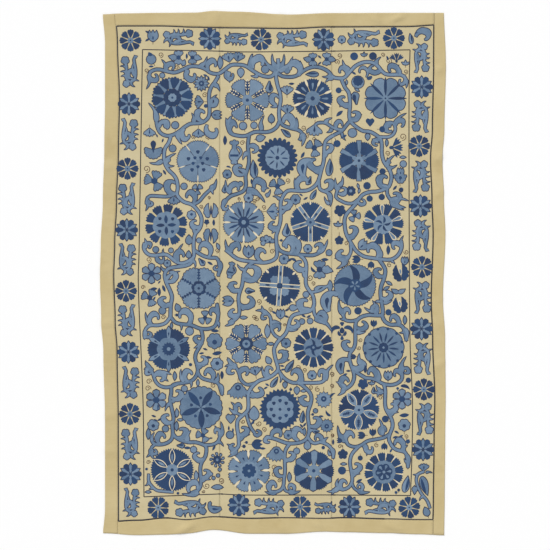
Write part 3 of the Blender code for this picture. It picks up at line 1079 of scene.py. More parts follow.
DESIGNS = {
    "heart ring": (
        Layer("spears", "light", 10, 7, 19.2, 7, 10, 0, 0),
        Layer("hearts", "dark", 10, 9.5, 20.8, 31, -8, 3, 1),
        Layer("disc", "dark", 1, 0, 9, 0.1, 0, 12, 1),
        Layer("disc", "light", 1, 0, 4.2, 0.12, 0, 8, 2),
        Layer("dots", "dark", 1, 0, 0, 1.1, 0, 0, 3),
    ),
    "light fans": (
        Layer("wedges", "light", 6, 4.5, 21, 43, 0, 7, 0),
        Layer("spears", "pale", 6, 8, 20.2, 4.6, 30, 0, 0),
        Layer("feathers", "dark", 6, 5.5, 19.4, 3.6, 30, 0, 1),
        Layer("disc", "light", 1, 0, 5.2, 0.1, 0, 6, 2),
        Layer("dots", "dark", 1, 0, 0, 1.6, 0, 0, 3),
    ),
    "dark fans": (
        Layer("fans", "dark", 8, 6.6, 20.2, 42, 22.5, 6, 0),
        Layer("spears", "pale", 8, 12, 21, 2.4, 0, 0, 1),
        Layer("petals", "light", 8, 9, 15.8, 2.2, 22.5, 0, 1),
        Layer("disc", "light", 1, 0, 7.8, 0.14, 0, 12, 2),
        Layer("disc", "dark", 1, 0, 2.2, 0.1, 0, 8, 3),
    ),
    "light petals": (
        Layer("lobes", "light", 8, 2.4, 20.6, 43, 22.5, 3, 0),
        Layer("spears", "dark", 8, 2.5, 21.6, 3, 0, 0, 1),
        Layer("disc", "light", 1, 0, 3, 0.12, 0, 8, 2),
        Layer("dots", "dark", 1, 0, 0, 0.9, 0, 0, 3),
    ),
    "five lobes": (
        Layer("fans", "light", 5, 1.5, 20.6, 69, 0, 11, 0),
        Layer("dots", "dark", 5, 0, 9.6, 1.9, 0, 3, 1),
        Layer("dots", "dark", 5, 0, 4.8, 1.7, 36, 3, 1),
        Layer("spears", "pale", 5, 12.5, 20, 1.1, 36, 0, 1),
        Layer("dots", "light", 1, 0, 0, 1.7, 0, 0, 2),
    ),
    "beaded wheel": (
        Layer("disc", "dark", 1, 0, 20.2, 0.15, 0, 24, 0),
        Layer("disc", "light", 1, 0, 12.2, 0.06, 0, 16, 1),
        Layer("spears", "dark", 8, 3.8, 11, 1.5, -4, 0, 2),
        Layer("disc", "dark", 1, 0, 2, 0.1, 0, 8, 2),
    ),
    "six arms": (
        Layer("fans", "dark", 6, 6.4, 20.3, 46, 28, 8, 0),
        Layer("strips", "light", 6, 2.4, 20, 4.2, 0, 0, 0),
        Layer("swirls", "dark", 6, 7, 13, 1.2, 8, 0, 1),
        Layer("disc", "light", 1, 0, 4.4, 0.15, 0, 6, 1),
        Layer("dots", "dark", 1, 0, 0, 1.4, 0, 0, 2),
    ),
    "ten petals": (
        Layer("fans", "dark", 10, 11.4, 20.6, 30, 0, 4, 0),
        Layer("disc", "light", 1, 0, 13, 0.06, 18, 10, 1),
        Layer("spears", "dark", 4, 1, 9.6, 3.4, 8, 0, 2),
        Layer("dots", "dark", 4, 0, 8.6, 1.7, 50, 3, 2),
        Layer("disc", "light", 1, 0, 1.7, 0.1, 0, 6, 3),
    ),
    "eight spokes": (
        Layer("fans", "light", 8, 3.6, 20.5, 40, 22.5, 6, 0),
        Layer("spears", "pale", 8, 12.4, 20.8, 1.9, 0, 0, 1),
        Layer("spears", "dark", 8, 5, 16, 2.3, 22.5, 0, 1),
        Layer("disc", "dark", 1, 0, 6, 0.22, 0, 8, 2),
        Layer("disc", "light", 1, 0, 2.2, 0.05, 0, 6, 3),
    ),
    "five loops": (
        Layer("fans", "dark", 5, 3, 20.4, 70, 36, 12, 0),
        Layer("strips", "pale", 5, 4, 19.4, 4.4, 0, 0, 1),
        Layer("strips", "light", 5, 4.4, 18.8, 3, 0, 0, 2),
        Layer("drops", "dark", 5, 5.6, 11.4, 2.2, 0, 0, 3),
        Layer("spears", "pale", 5, 17, 21, 1.8, 36, 0, 1),
        Layer("disc", "light", 1, 0, 4.6, 0.16, 36, 5, 2),
        Layer("dots", "dark", 1, 0, 0, 1.4, 0, 0, 3),
    ),
    "paired fans": (
        Layer("fans", "dark", 10, 8, 20.6, 29, 0, 5, 0),
        Layer("petals", "pale", 5, 9, 19.8, 4.6, 18, 0, 1),
        Layer("petals", "light", 5, 9.8, 18.8, 2.8, 18, 0, 2),
        Layer("disc", "light", 1, 0, 9.8, 0.08, 0, 10, 1),
        Layer("swirls", "dark", 5, 1.5, 8.6, 2.1, 0, 0, 2),
        Layer("dots", "light", 1, 0, 0, 1.3, 0, 0, 3),
    ),
    "six petals": (
        Layer("hearts", "light", 6, 3, 20.8, 60, 30, 6, 0),
        Layer("feathers", "dark", 6, 6, 20.4, 2.6, 0, 0, 1),
        Layer("disc", "dark", 1, 0, 7.4, 0.15, 0, 7, 2),
        Layer("disc", "light", 1, 0, 4.6, 0.12, 0, 8, 3),
        Layer("dots", "dark", 1, 0, 0, 1.3, 0, 0, 4),
    ),
    "cross": (
        Layer("gear", "dark", 1, 0, 20.6, 0.05, 0, 48, 0),
        Layer("dots", "light", 4, 0, 7.4, 4.6, 45, 7, 1),
        Layer("strips", "pale", 4, 2.5, 20, 4.6, 0, 0, 2),
        Layer("strips", "light", 4, 2.5, 19.8, 2.8, 0, 0, 3),
        Layer("spears", "dark", 4, 9.5, 14.5, 2, 0, 0, 4),
        Layer("spears", "pale", 4, 16.4, 21, 2.2, 45, 0, 1),
        Layer("dots", "dark", 1, 0, 0, 2.1, 0, 8, 4),
    ),
    "five blades": (
        Layer("gear", "light", 1, 0, 20.5, 0.05, 0, 44, 0),
        Layer("swirls", "dark", 5, 2, 22.6, 6.2, 0, 0, 1),
        Layer("disc", "dark", 1, 0, 6.6, 0.2, 0, 5, 2),
        Layer("petals", "light", 5, 0.9, 5, 2, 36, 0, 3),
    ),
    "star arms": (
        Layer("fans", "dark", 6, 8, 20.6, 47, 30, 6, 0),
        Layer("spears", "light", 6, 6, 21.4, 5.4, 0, 0, 0),
        Layer("disc", "light", 1, 0, 11.4, 0.14, 0, 6, 1),
        Layer("drops", "dark", 6, 12, 16, 1.5, 0, 0, 1),
        Layer("gear", "dark", 1, 0, 6.8, 0.22, 0, 14, 2),
        Layer("dots", "light", 1, 0, 0, 1.8, 0, 0, 3),
    ),
    "feathered fans": (
        Layer("hearts", "light", 6, 6, 20.2, 42, 30, 3, 0),
        Layer("spears", "pale", 6, 8, 20, 5, 0, 0, 0),
        Layer("feathers", "dark", 6, 7, 19, 4, 0, 0, 1),
        Layer("disc", "dark", 1, 0, 7, 0.12, 0, 12, 2),
        Layer("disc", "light", 1, 0, 3.9, 0.05, 0, 8, 3),
        Layer("dots", "dark", 1, 0, 0, 1.6, 0, 6, 4),
    ),
    "twelve petals": (
        Layer("fans", "dark", 12, 9, 20.2, 26, 0, 3, 0),
        Layer("spears", "pale", 12, 11, 20.8, 1.3, 15, 0, 1),
        Layer("disc", "light", 1, 0, 10, 0.1, 0, 12, 1),
        Layer("swirls", "dark", 4, 1, 9.4, 2.4, 0, 0, 2),
        Layer("disc", "dark", 1, 0, 3.4, 0.2, 0, 4, 2),
        Layer("dots", "light", 1, 0, 0, 1.2, 0, 0, 3),
    ),
    "rayed disc": (
        Layer("disc", "light", 1, 0, 20, 0.06, 0, 12, 0),
        Layer("spears", "dark", 13, 5, 15.4, 1.9, 0, 0, 1),
        Layer("dots", "dark", 12, 0, 19, 1.5, 0, 0, 1),
        Layer("disc", "dark", 1, 0, 5, 0.12, 0, 9, 1),
        Layer("dots", "light", 1, 0, 0, 1.1, 0, 0, 2),
    ),
    "five-point star": (
        Layer("disc", "light", 1, 0, 20.4, 0.05, 0, 22, 0),
        Layer("spears", "dark", 5, 2, 20, 6.2, 0, 0, 1),
        Layer("dots", "dark", 5, 0, 9.6, 1.6, 36, 3, 1),
        Layer("disc", "dark", 1, 0, 5.2, 0.2, 36, 5, 1),
        Layer("petals", "light", 5, 0.6, 5, 2.6, 36, 0, 2),
    ),
    "gear": (
        Layer("gear", "dark", 1, 0, 20.6, 0.12, 0, 30, 0),
        Layer("disc", "light", 1, 0, 14, 0.14, 0, 8, 1),
        Layer("dots", "dark", 8, 0, 8.6, 1.9, 0, 3, 2),
        Layer("dots", "dark", 1, 0, 0, 1.5, 0, 5, 2),
    ),
    "five pods": (
        Layer("fans", "dark", 5, 3, 20.3, 70, 36, 11, 0),
        Layer("spears", "pale", 5, 4, 20.4, 8, 0, 0, 1),
        Layer("spears", "light", 5, 4.6, 19.8, 6.6, 0, 0, 2),
        Layer("feathers", "dark", 5, 8, 17, 2.2, 0, 0, 3),
        Layer("spears", "pale", 5, 16.6, 20.8, 1.8, 36, 0, 1),
        Layer("disc", "light", 1, 0, 5, 0.12, 36, 5, 2),
        Layer("dots", "dark", 1, 0, 0, 1.3, 0, 0, 3),
    ),
    "six pods": (
        Layer("gear", "dark", 1, 0, 20.8, 0.07, 0, 54, 0),
        Layer("spears", "pale", 6, 5, 20.2, 6, 0, 0, 1),
        Layer("spears", "dark", 6, 6, 19.4, 4.2, 0, 0, 2),
        Layer("spears", "light", 6, 8, 15.6, 2, 0, 0, 3),
        Layer("disc", "light", 1, 0, 5.8, 0.16, 0, 12, 2),
        Layer("dots", "dark", 1, 0, 0, 1.6, 0, 0, 3),
    ),
    "slotted disc": (
        Layer("fans", "light", 8, 5, 20.5, 37, 22.5, 5, 0),
        Layer("disc", "light", 1, 0, 11.4, 0.05, 0, 8, 0),
        Layer("spears", "pale", 8, 12.4, 21, 2.4, 0, 0, 1),
        Layer("drops", "dark", 8, 10.4, 14.2, 1.7, 22.5, 0, 1),
        Layer("disc", "dark", 1, 0, 7, 0.2, 0, 9, 1),
        Layer("dots", "light", 1, 0, 0, 1.3, 0, 0, 2),
    ),
    "six fans": (
        Layer("wedges", "dark", 6, 7, 20.2, 42, 0, 7, 0),
        Layer("petals", "light", 6, 5, 19.8, 7.5, 30, 0, 0),
        Layer("disc", "light", 1, 0, 6.4, 0.12, 0, 6, 2),
        Layer("dots", "dark", 1, 0, 0, 1.7, 0, 0, 3),
    ),
    "curved fans": (
        Layer("fans", "dark", 12, 10.4, 20, 26.5, 0, 4, 0),
        Layer("spears", "pale", 12, 13, 20.8, 1.3, 15, 0, 1),
        Layer("disc", "light", 1, 0, 11.8, 0.06, 0, 12, 1),
        Layer("disc", "dark", 1, 0, 8.6, 0.16, 0, 6, 2),
        Layer("drops", "light", 6, 2.6, 7.6, 2.6, 30, 0, 3),
        Layer("dots", "light", 1, 0, 0, 1.5, 0, 0, 3),
    ),
    "border hearts": (
        Layer("lobes", "dark", 6, 3, 11.2, 38, 0, 3, 0),
        Layer("spears", "light", 6, 1, 10.6, 3.8, 30, 0, 0),
        Layer("dots", "dark", 1, 0, 0, 1, 0, 0, 2),
    ),
    "border fans": (
        Layer("hearts", "dark", 8, 3, 11.2, 42, 0, 3, 0),
        Layer("disc", "light", 1, 0, 3, 0.1, 0, 6, 1),
        Layer("dots", "dark", 1, 0, 0, 0.8, 0, 0, 2),
    ),
}

ROSETTES = (
    Rosette(172.4, 97.7, 20.5, 0, "heart ring"),
    Rosette(247.4, 100.2, 21, 30, "light fans"),
    Rosette(312.6, 98.5, 20.2, 22, "dark fans"),
    Rosette(385.4, 98.4, 20, 0, "light petals"),
    Rosette(197.9, 161.8, 20.6, 0, "five lobes"),
    Rosette(277.4, 157.8, 20.1, 0, "beaded wheel"),
    Rosette(358.9, 160.8, 20.1, 0, "six arms"),
    Rosette(166.2, 225.1, 21, -6, "ten petals"),
    Rosette(243.7, 222.3, 20.5, 0, "eight spokes"),
    Rosette(310.4, 222.3, 20.3, -36, "five loops"),
    Rosette(383, 224.3, 20.5, -15, "paired fans"),
    Rosette(198.8, 288.3, 20.5, 0, "six petals"),
    Rosette(279.7, 285.8, 20.3, -4, "cross"),
    Rosette(354.8, 285.3, 20.4, 0, "five blades"),
    Rosette(168.7, 349, 21, 0, "star arms"),
    Rosette(246.3, 343.8, 20.5, 0, "feathered fans"),
    Rosette(313.4, 347.5, 20.3, 0, "twelve petals"),
    Rosette(383.5, 347.5, 20.3, -13, "rayed disc"),
    Rosette(201, 407.7, 20.7, -34, "five-point star"),
    Rosette(280, 409.3, 20.3, 0, "gear"),
    Rosette(358.9, 409.9, 20.6, -38, "five pods"),
    Rosette(172.2, 469.8, 21, 0, "six pods"),
    Rosette(249, 470.8, 20.8, 2, "slotted disc"),
    Rosette(313.7, 470.7, 20.4, 28, "six fans"),
    Rosette(383.9, 472, 20, 8, "curved fans"),
)

# The frame's lines: their width in steps, how far the outer one is from the seam, and how close the
# points of a line are
FRAME_LINE = 1.35
FRAME_INSET = 0.0035
LINE_SPACING = 0.008

# The border's rosettes: places across and down, the turn, and which of the two border designs
BORDER_ROSETTES = (
    (130.5, 40.5, 0, "fans"), (129, 104, 30, "hearts"), (127.5, 168.7, 0, "fans"),
    (126.8, 230, 30, "hearts"), (126, 291, 0, "fans"), (128.5, 352, 30, "hearts"),
    (130, 414, 0, "fans"), (130.5, 474, 30, "hearts"), (209.8, 38.7, 0, "hearts"),
    (261, 39.6, 30, "fans"), (323.6, 39.6, 0, "hearts"), (393.8, 38.2, 0, "fans"),
    (421.6, 87, 30, "hearts"), (419.2, 146, 0, "fans"), (420.4, 206, 30, "hearts"),
    (422, 267, 0, "fans"), (421.5, 328.8, 30, "hearts"), (423.8, 389.4, 0, "fans"),
    (423, 449.5, 30, "hearts"), (158.2, 507.6, 20, "fans"), (239, 505, 0, "hearts"),
    (300.2, 506.8, 25, "fans"), (349.4, 506.8, 0, "hearts"), (409.2, 507.4, 10, "fans"),
)

# The border's scrolls: places across and down, turn, size and hand
BORDER_SCROLLS = (
    (130, 71, 0, 1, -1), (129, 134, 0, 1, 1), (127.5, 198.5, 0, 1, -1), (126.5, 259, 0, 1, 1),
    (127.5, 320, 0, 1, -1), (130, 382, 0, 1, 1), (130.5, 443.5, 0, 1, -1), (131, 502, 0, 0.9, 1),
    (179, 38.2, -90, 0.96, -1), (236.5, 38.6, -90, 0.72, 1), (292.6, 39.4, -90, 0.96, -1),
    (364, 37.8, -90, 1, 1), (421, 58.5, 180, 0.92, -1), (421, 117, 180, 1, 1), (420.5, 177, 180, 1, -1),
    (421.4, 236, 180, 1, 1), (422, 298, 180, 1, -1), (423, 359, 180, 1, 1), (424.4, 419.5, 180, 1, -1),
    (190, 507.6, 90, 1, -1), (268.4, 507, 90, 0.96, 1), (325, 507.6, 90, 0.66, -1), (380, 507, 90, 0.98, 1),
)


# The border's scroll, placed right and up from its middle: its vines' widths and places, its curled
# leaf's base, eye, hand and width, its lobed heads' radii, and its spurs' bases, tips, sides and widths
SCROLL_VINES = (
    (2.2, ((0, -11.4), (-3.2, -9.6), (-5.4, -6), (-5.6, 1), (-4.6, 7), (-4, 11.4), (-5.2, 14.6), (-7, 13.8))),
    (2.2, ((0.2, -11.2), (3, -8.6), (4.2, -4), (3.4, 2), (4.2, 8))),
)
SCROLL_CURL = (-4.6, 1.5, -1.9, -4.9, -1, 3.6)
SCROLL_CURL_SWEEP = 230
SCROLL_CURL_LOBES = 4
SCROLL_HEADS = ((4.8, 10.4, 3.9), (3.6, -12.8, 3.3))
SCROLL_SPUR_BOW = 0.16
SCROLL_SPURS = (
    (-5.2, -5, -4, 8.6, -1, 4.2), (3.6, 3.2, 9, 4.8, 1, 2.8), (4, -1.6, 8.8, -0.6, 1, 2.6),
    (3.8, -5.6, 8.4, -5.2, 1, 2.4), (-1, -10.4, -8.4, -9.8, -1, 3), (-1, -11.4, -4.4, -15.6, 1, 3),
)


def border_scroll(work, spot):
    """A curled leaf beside a spurred stalk with a lobed leaf at each end, joined at the foot."""

    def placed(right, up):
        across, up = spot.at(right, up)
        return across, -up

    size, spur_bow = spot.size, SCROLL_SPUR_BOW * spot.hand
    for width, places in SCROLL_VINES:
        vine(work, [placed(*point) for point in places], width * size)
    right, up, eye_right, eye_up, hand, width = SCROLL_CURL
    base, eye = placed(right, up), placed(eye_right, eye_up)
    curl(work, base, eye, hand * spot.hand, width * size, SCROLL_CURL_SWEEP, SCROLL_CURL_LOBES)
    for right, up, tip_right, tip_up, hand, width in SCROLL_SPURS:
        horn(work, placed(right, up), placed(tip_right, tip_up), spur_bow * hand, width * size)
    for right, up, radius in SCROLL_HEADS:
        disc(work, spot, "light", radius, 5, 0.2, centre=(right, up))


# Vines: each one's width, and the places across and down that it runs through

VINES = (
    (2, ((424, 471.5), (419, 473.4), (416.6, 477), (416.8, 483.5), (421, 493), (427, 500.5), (430, 508))),
    (2.6, ((149, 76), (150.5, 72), (154.5, 70), (160, 69.6), (173.5, 72.6), (182, 70), (189.5, 66.6),
           (198, 66.6), (205, 69), (211, 73), (218.6, 73.8), (225, 69.5), (231, 65.2), (238, 64.7),
           (245.5, 66), (253.6, 71.3), (261, 75.4), (268.4, 77), (273, 75.4), (276, 70.3))),
    (2.6, ((218.6, 75.8), (215, 82), (211, 87.6), (209, 96), (209.4, 114), (206, 120.2), (200.7, 123),
           (190.5, 123.8), (184.4, 127.3), (179.3, 131.4), (172.7, 135), (166.5, 135.8), (160.4, 132.8),
           (157.3, 126.6), (156.3, 120))),
    (2.6, ((171, 136), (168.6, 143), (165, 148.6), (164, 155.7), (165, 163.4), (168.6, 170), (173.7, 175),
           (176.7, 180.2), (177.8, 188), (177.2, 195), (183.4, 201.6), (191, 204.2), (196, 208.3),
           (200.5, 215), (201.6, 221), (200, 228), (195.3, 234), (193.7, 241), (193.7, 248.6), (194, 256),
           (191, 259.5), (186, 262.3), (181, 263.3), (175.2, 261.3), (166.5, 254.7), (154.3, 255.5),
           (148.7, 254.5), (145, 251), (143.8, 247), (144.6, 243))),
    (2.8, ((193.3, 258), (191, 262.9), (186, 265.5), (173.2, 267.4), (167.6, 269.3), (164.8, 275),
           (166.5, 282.8), (170, 290.4), (172, 297), (170.8, 305.7), (170.4, 318.5))),
    (2.4, ((170.3, 317), (165.5, 323), (158, 325.3), (150.2, 325.4), (146, 328.7), (144.4, 333.8),
           (144.8, 338.4))),
    (2.6, ((170.6, 317), (175.7, 322.6), (183.4, 324.3), (191, 325), (200, 328.5), (207.8, 328.9),
           (214.4, 326.6), (217.2, 321), (218.3, 313.4), (217, 303.7))),
    (2.6, ((200.5, 328), (202.3, 334), (202.5, 340), (199.5, 347), (196.3, 352.5), (195.2, 358), (197, 365),
           (197.8, 371), (195.5, 377), (191, 381), (184, 382.8), (176, 383.8), (171.8, 386.3), (171.3, 393),
           (170.2, 399), (171, 405), (173.6, 418), (172.2, 424), (172.8, 431), (172.4, 437), (170, 441),
           (165, 443.7), (159, 444.5), (154, 443.6), (151.8, 440), (151.7, 435.3))),
    (2.4, ((178, 383.5), (171, 386.5), (165.5, 387.3), (159.4, 385.3), (155.3, 380.7), (153.6, 375.6),
           (150, 367.5), (146, 363))),
    (2.4, ((197.5, 371), (199.5, 375.5), (203.5, 378.8), (214.4, 381.8), (218.5, 384), (222.4, 394.8))),
    (2.2, ((156, 443.8), (152, 447), (150.8, 451))),
    (2.6, ((172.7, 433), (175.5, 437), (180.8, 440.2), (188.5, 442.2), (196, 442.3), (205.2, 445.7),
           (206.4, 450.6), (205.2, 456.7), (201.8, 462.3), (200.3, 468.5), (201, 481.2), (200, 487.3),
           (196.5, 491.4), (191, 492.8))),
    (2.4, ((203.5, 445), (211.8, 444.7), (217, 442.4), (219.5, 438), (220.3, 430.2))),
    (2.4, ((177, 193), (167.6, 196.5), (150.2, 196), (147, 200), (146.5, 204))),
    (2.4, ((193, 204.6), (199, 201.5), (204.5, 195), (211, 189))),
    (2.6, ((194, 250), (198, 252.8), (203.7, 256), (210.3, 257.8), (216.4, 258), (219, 262.3),
           (219.7, 268), (218.2, 276))),
    (2, ((148.7, 474), (148.7, 481), (151.2, 485.3), (156.3, 490), (163, 491.2), (173.2, 492))),
    (2.6, ((227, 120), (227.7, 126.6), (230.7, 133.3), (238.4, 135.8), (246, 135.8), (255, 132),
           (265.2, 132.2), (271.8, 130.7), (277, 126.6), (279.5, 121))),
    (2.6, ((249.1, 135), (248, 145.5), (249, 160.8), (247.6, 168.5), (245.5, 176), (246, 184.3),
           (244, 190.4), (238.4, 193.5), (231, 196), (226, 200.5), (224, 205))),
    (2.6, ((278, 59), (278.6, 67.8), (276, 75.4), (277.6, 85.6), (280, 93.3), (280.6, 101), (279, 111),
           (279.6, 121.3))),
    (2.6, ((279.4, 120), (282.6, 125), (290.7, 128.2), (298.4, 130.2), (302.4, 134.3), (299.4, 140.4))),
    (2.6, ((277, 73), (281, 75.6), (285, 76.8), (295.2, 76.3), (305.4, 69.7), (313, 67), (320.7, 67.7),
           (328.4, 71.7), (333.5, 77.3), (341, 78.4), (345, 77.2), (350.4, 71.3), (355.8, 65.8),
           (364, 62.3), (372, 62.6), (377.5, 65.8), (382, 71.3), (387.3, 74.5), (401, 75),
           (405.2, 78.3), (406.3, 83.2))),
    (2.6, ((341, 78.4), (345, 87.5), (348.8, 93), (350, 103.8), (349.3, 114.7), (350.4, 121.2),
           (355.8, 126.6), (363, 131), (370.5, 132), (379.7, 138), (381.7, 144.5), (381.7, 153.2),
           (383.8, 161.8), (389, 169), (391.4, 176), (390.4, 182.8), (387.3, 188), (377.7, 191.4),
           (370, 192), (362.4, 195), (355.8, 203.7), (351.7, 208.3), (346.6, 214), (344.6, 219.5),
           (344.8, 226.6), (346.6, 234.8), (352.8, 246), (356.8, 251.6), (363.5, 256.2), (372, 258),
           (388, 259.8), (394.5, 258), (399, 253.7), (401.6, 247.6), (401.3, 241))),
    (2.4, ((387.3, 187), (387.3, 194), (391, 200), (398, 204))),
    (2.2, ((378.5, 137), (388.4, 137), (393.8, 133.6), (395.4, 128.2), (393.8, 124))),
    (2.2, ((358.5, 199), (352.8, 203.2), (346.6, 203.2), (340.5, 200.6), (336, 197), (337.5, 190),
           (339.5, 184))),
    (2.2, ((350.3, 242.5), (351, 250), (349.8, 254.5), (345.5, 259.5))),
    (2.8, ((378.5, 259), (383.8, 266.4), (385.3, 271.5), (383.8, 279), (381, 287), (380.6, 295.5),
           (382.7, 309.8), (382.3, 316), (384.8, 321.3), (390.4, 324.6), (396.5, 324.6), (401.6, 326),
           (404.2, 330.2), (406.5, 340.7))),
    (2.6, ((382.8, 315.4), (375, 315.4), (368.6, 315), (362, 316.6), (357.3, 320), (355.3, 325.5),
           (355, 344.5), (350.2, 353), (349.3, 358), (350.4, 363), (353.8, 373), (354, 378.5),
           (351.7, 384), (346.6, 388.4), (341.5, 391))),
    (2.4, ((358, 319.5), (352.8, 321), (347.7, 320.8), (344, 318.5), (343.5, 309))),
    (2.6, ((353.5, 370), (357.3, 373), (362.4, 376), (366, 378), (371, 378.3), (377, 380.4),
           (382.8, 383.6), (390.4, 385), (397, 383.4), (401.4, 379.7), (402.2, 374.6), (400.5, 371))),
    (2.6, ((383.5, 383.5), (385.2, 390), (385, 403), (386.2, 409.5), (389.3, 415), (392, 420.5),
           (392.4, 427), (389.8, 434), (389, 440), (393.5, 447.8), (398.6, 450.3), (403.2, 451.4),
           (406.7, 455), (408, 467.5))),
    (2.4, ((390, 433.5), (384.3, 437.3), (377.7, 439), (367.6, 441), (361, 445.2), (354.8, 446.8),
           (348.2, 444.7), (344.8, 439))),
    (2.4, ((359.5, 445.7), (352.8, 452.7), (350.4, 458.3), (350.2, 465), (352.2, 477), (351.5, 483),
           (348.2, 487.5), (342.6, 489.6), (338.5, 487.5), (337, 483.5))),
    (2, ((351.7, 482), (353.3, 486.8), (356.5, 490), (361, 491))),
    (2.6, ((350, 121), (346.6, 125), (341.5, 131.2), (335.4, 134.3), (327.8, 139), (324.7, 144.5),
           (323.7, 160.8), (321, 171), (318.6, 180.2), (315, 185.8), (308.6, 190), (301, 191),
           (290.7, 190.4), (285.6, 192.4), (281, 201), (280.6, 212), (280.4, 221), (278.2, 229.5),
           (276.2, 236), (276.4, 243.5), (277, 255), (274.4, 259.3), (268.3, 262), (260, 262.5),
           (241, 260), (234.3, 256.8), (229.5, 252.8), (225.6, 250))),
    (2.4, ((318.6, 179), (320, 189), (327.8, 193), (329.8, 200))),
    (2.2, ((343, 130), (337, 129.2), (331.8, 127), (325.2, 123), (318, 123), (314.5, 126))),
    (2.6, ((254, 262), (248.6, 265.4), (245, 270), (243.3, 277), (242.2, 285), (240, 291.4),
           (238.5, 298.6), (239.5, 311), (238, 316.5), (233.3, 320.8), (228.5, 322.5))),
    (2.6, ((276.6, 244), (279.5, 250), (285.6, 253), (293.3, 254), (308.6, 255.3), (315, 254.7),
           (321, 251.4), (324.3, 246.5))),
    (2.6, ((299, 254.6), (304.3, 259.5), (306.3, 266), (305.8, 283), (308.6, 289.6), (312.3, 294.5),
           (314, 300.6), (313.5, 307), (308.6, 311.3), (301, 313), (293.8, 315), (290, 320),
           (286.3, 332.5), (278.5, 340.8), (275.2, 346), (274, 350), (275.2, 357.8), (277.2, 364.4),
           (278, 369.5), (274.4, 374), (267.8, 378), (260, 380.2), (255, 383.8), (250.5, 389),
           (248.2, 394.5), (248.5, 405.2), (247, 411.3), (239.5, 418), (237.4, 421.5), (237.2, 428),
           (238.4, 435.3), (238.8, 442), (238, 447), (231, 453.5))),
    (2.2, ((280.5, 338.5), (275.4, 335.8), (272, 330.5), (271, 323.6), (270.4, 317.4), (267, 313),
           (262.5, 311.5))),
    (2.4, ((313.3, 305), (314.5, 314), (319, 320), (325, 323.5))),
    (2.2, ((310.5, 292.5), (320, 290.5), (325.5, 286.8), (328.5, 286))),
    (2.4, ((257, 382.5), (251, 384.3), (246, 384.3), (241, 379.7), (239, 373), (235.5, 366.8),
           (227.8, 359))),
    (2.2, ((247.5, 410), (243.5, 415), (238.4, 414), (234.5, 411))),
    (2.2, ((246, 412.5), (248.3, 421.5), (251, 427.7), (255, 433.5))),
    (2.6, ((277.8, 369), (281.5, 375), (286.6, 380), (293.3, 382.8), (299.4, 383.3), (308.6, 391),
           (311.4, 397), (310.6, 403.7), (308.3, 410.3), (307.8, 416.4), (309.2, 430), (307, 438),
           (302.4, 441.6), (295.8, 443.2), (286.6, 443), (275.4, 439), (270.3, 437.8))),
    (2.4, ((298, 383.2), (306, 382.8), (315, 382.8), (321.6, 382), (326.5, 378))),
    (2.4, ((290, 443.4), (286, 449), (284.7, 455.7), (285, 471), (284, 478.7), (283.3, 486),
           (280.5, 490), (275.4, 492), (270, 491.5))),
    (2, ((283.5, 485), (285, 490), (288.5, 491.6), (293, 491.3))),
    (2.4, ((307.5, 436.5), (311, 441.5), (315, 443.3), (320, 442), (325.2, 443.5), (329.8, 446.5),
           (332.6, 451.6), (333.3, 458))),
)

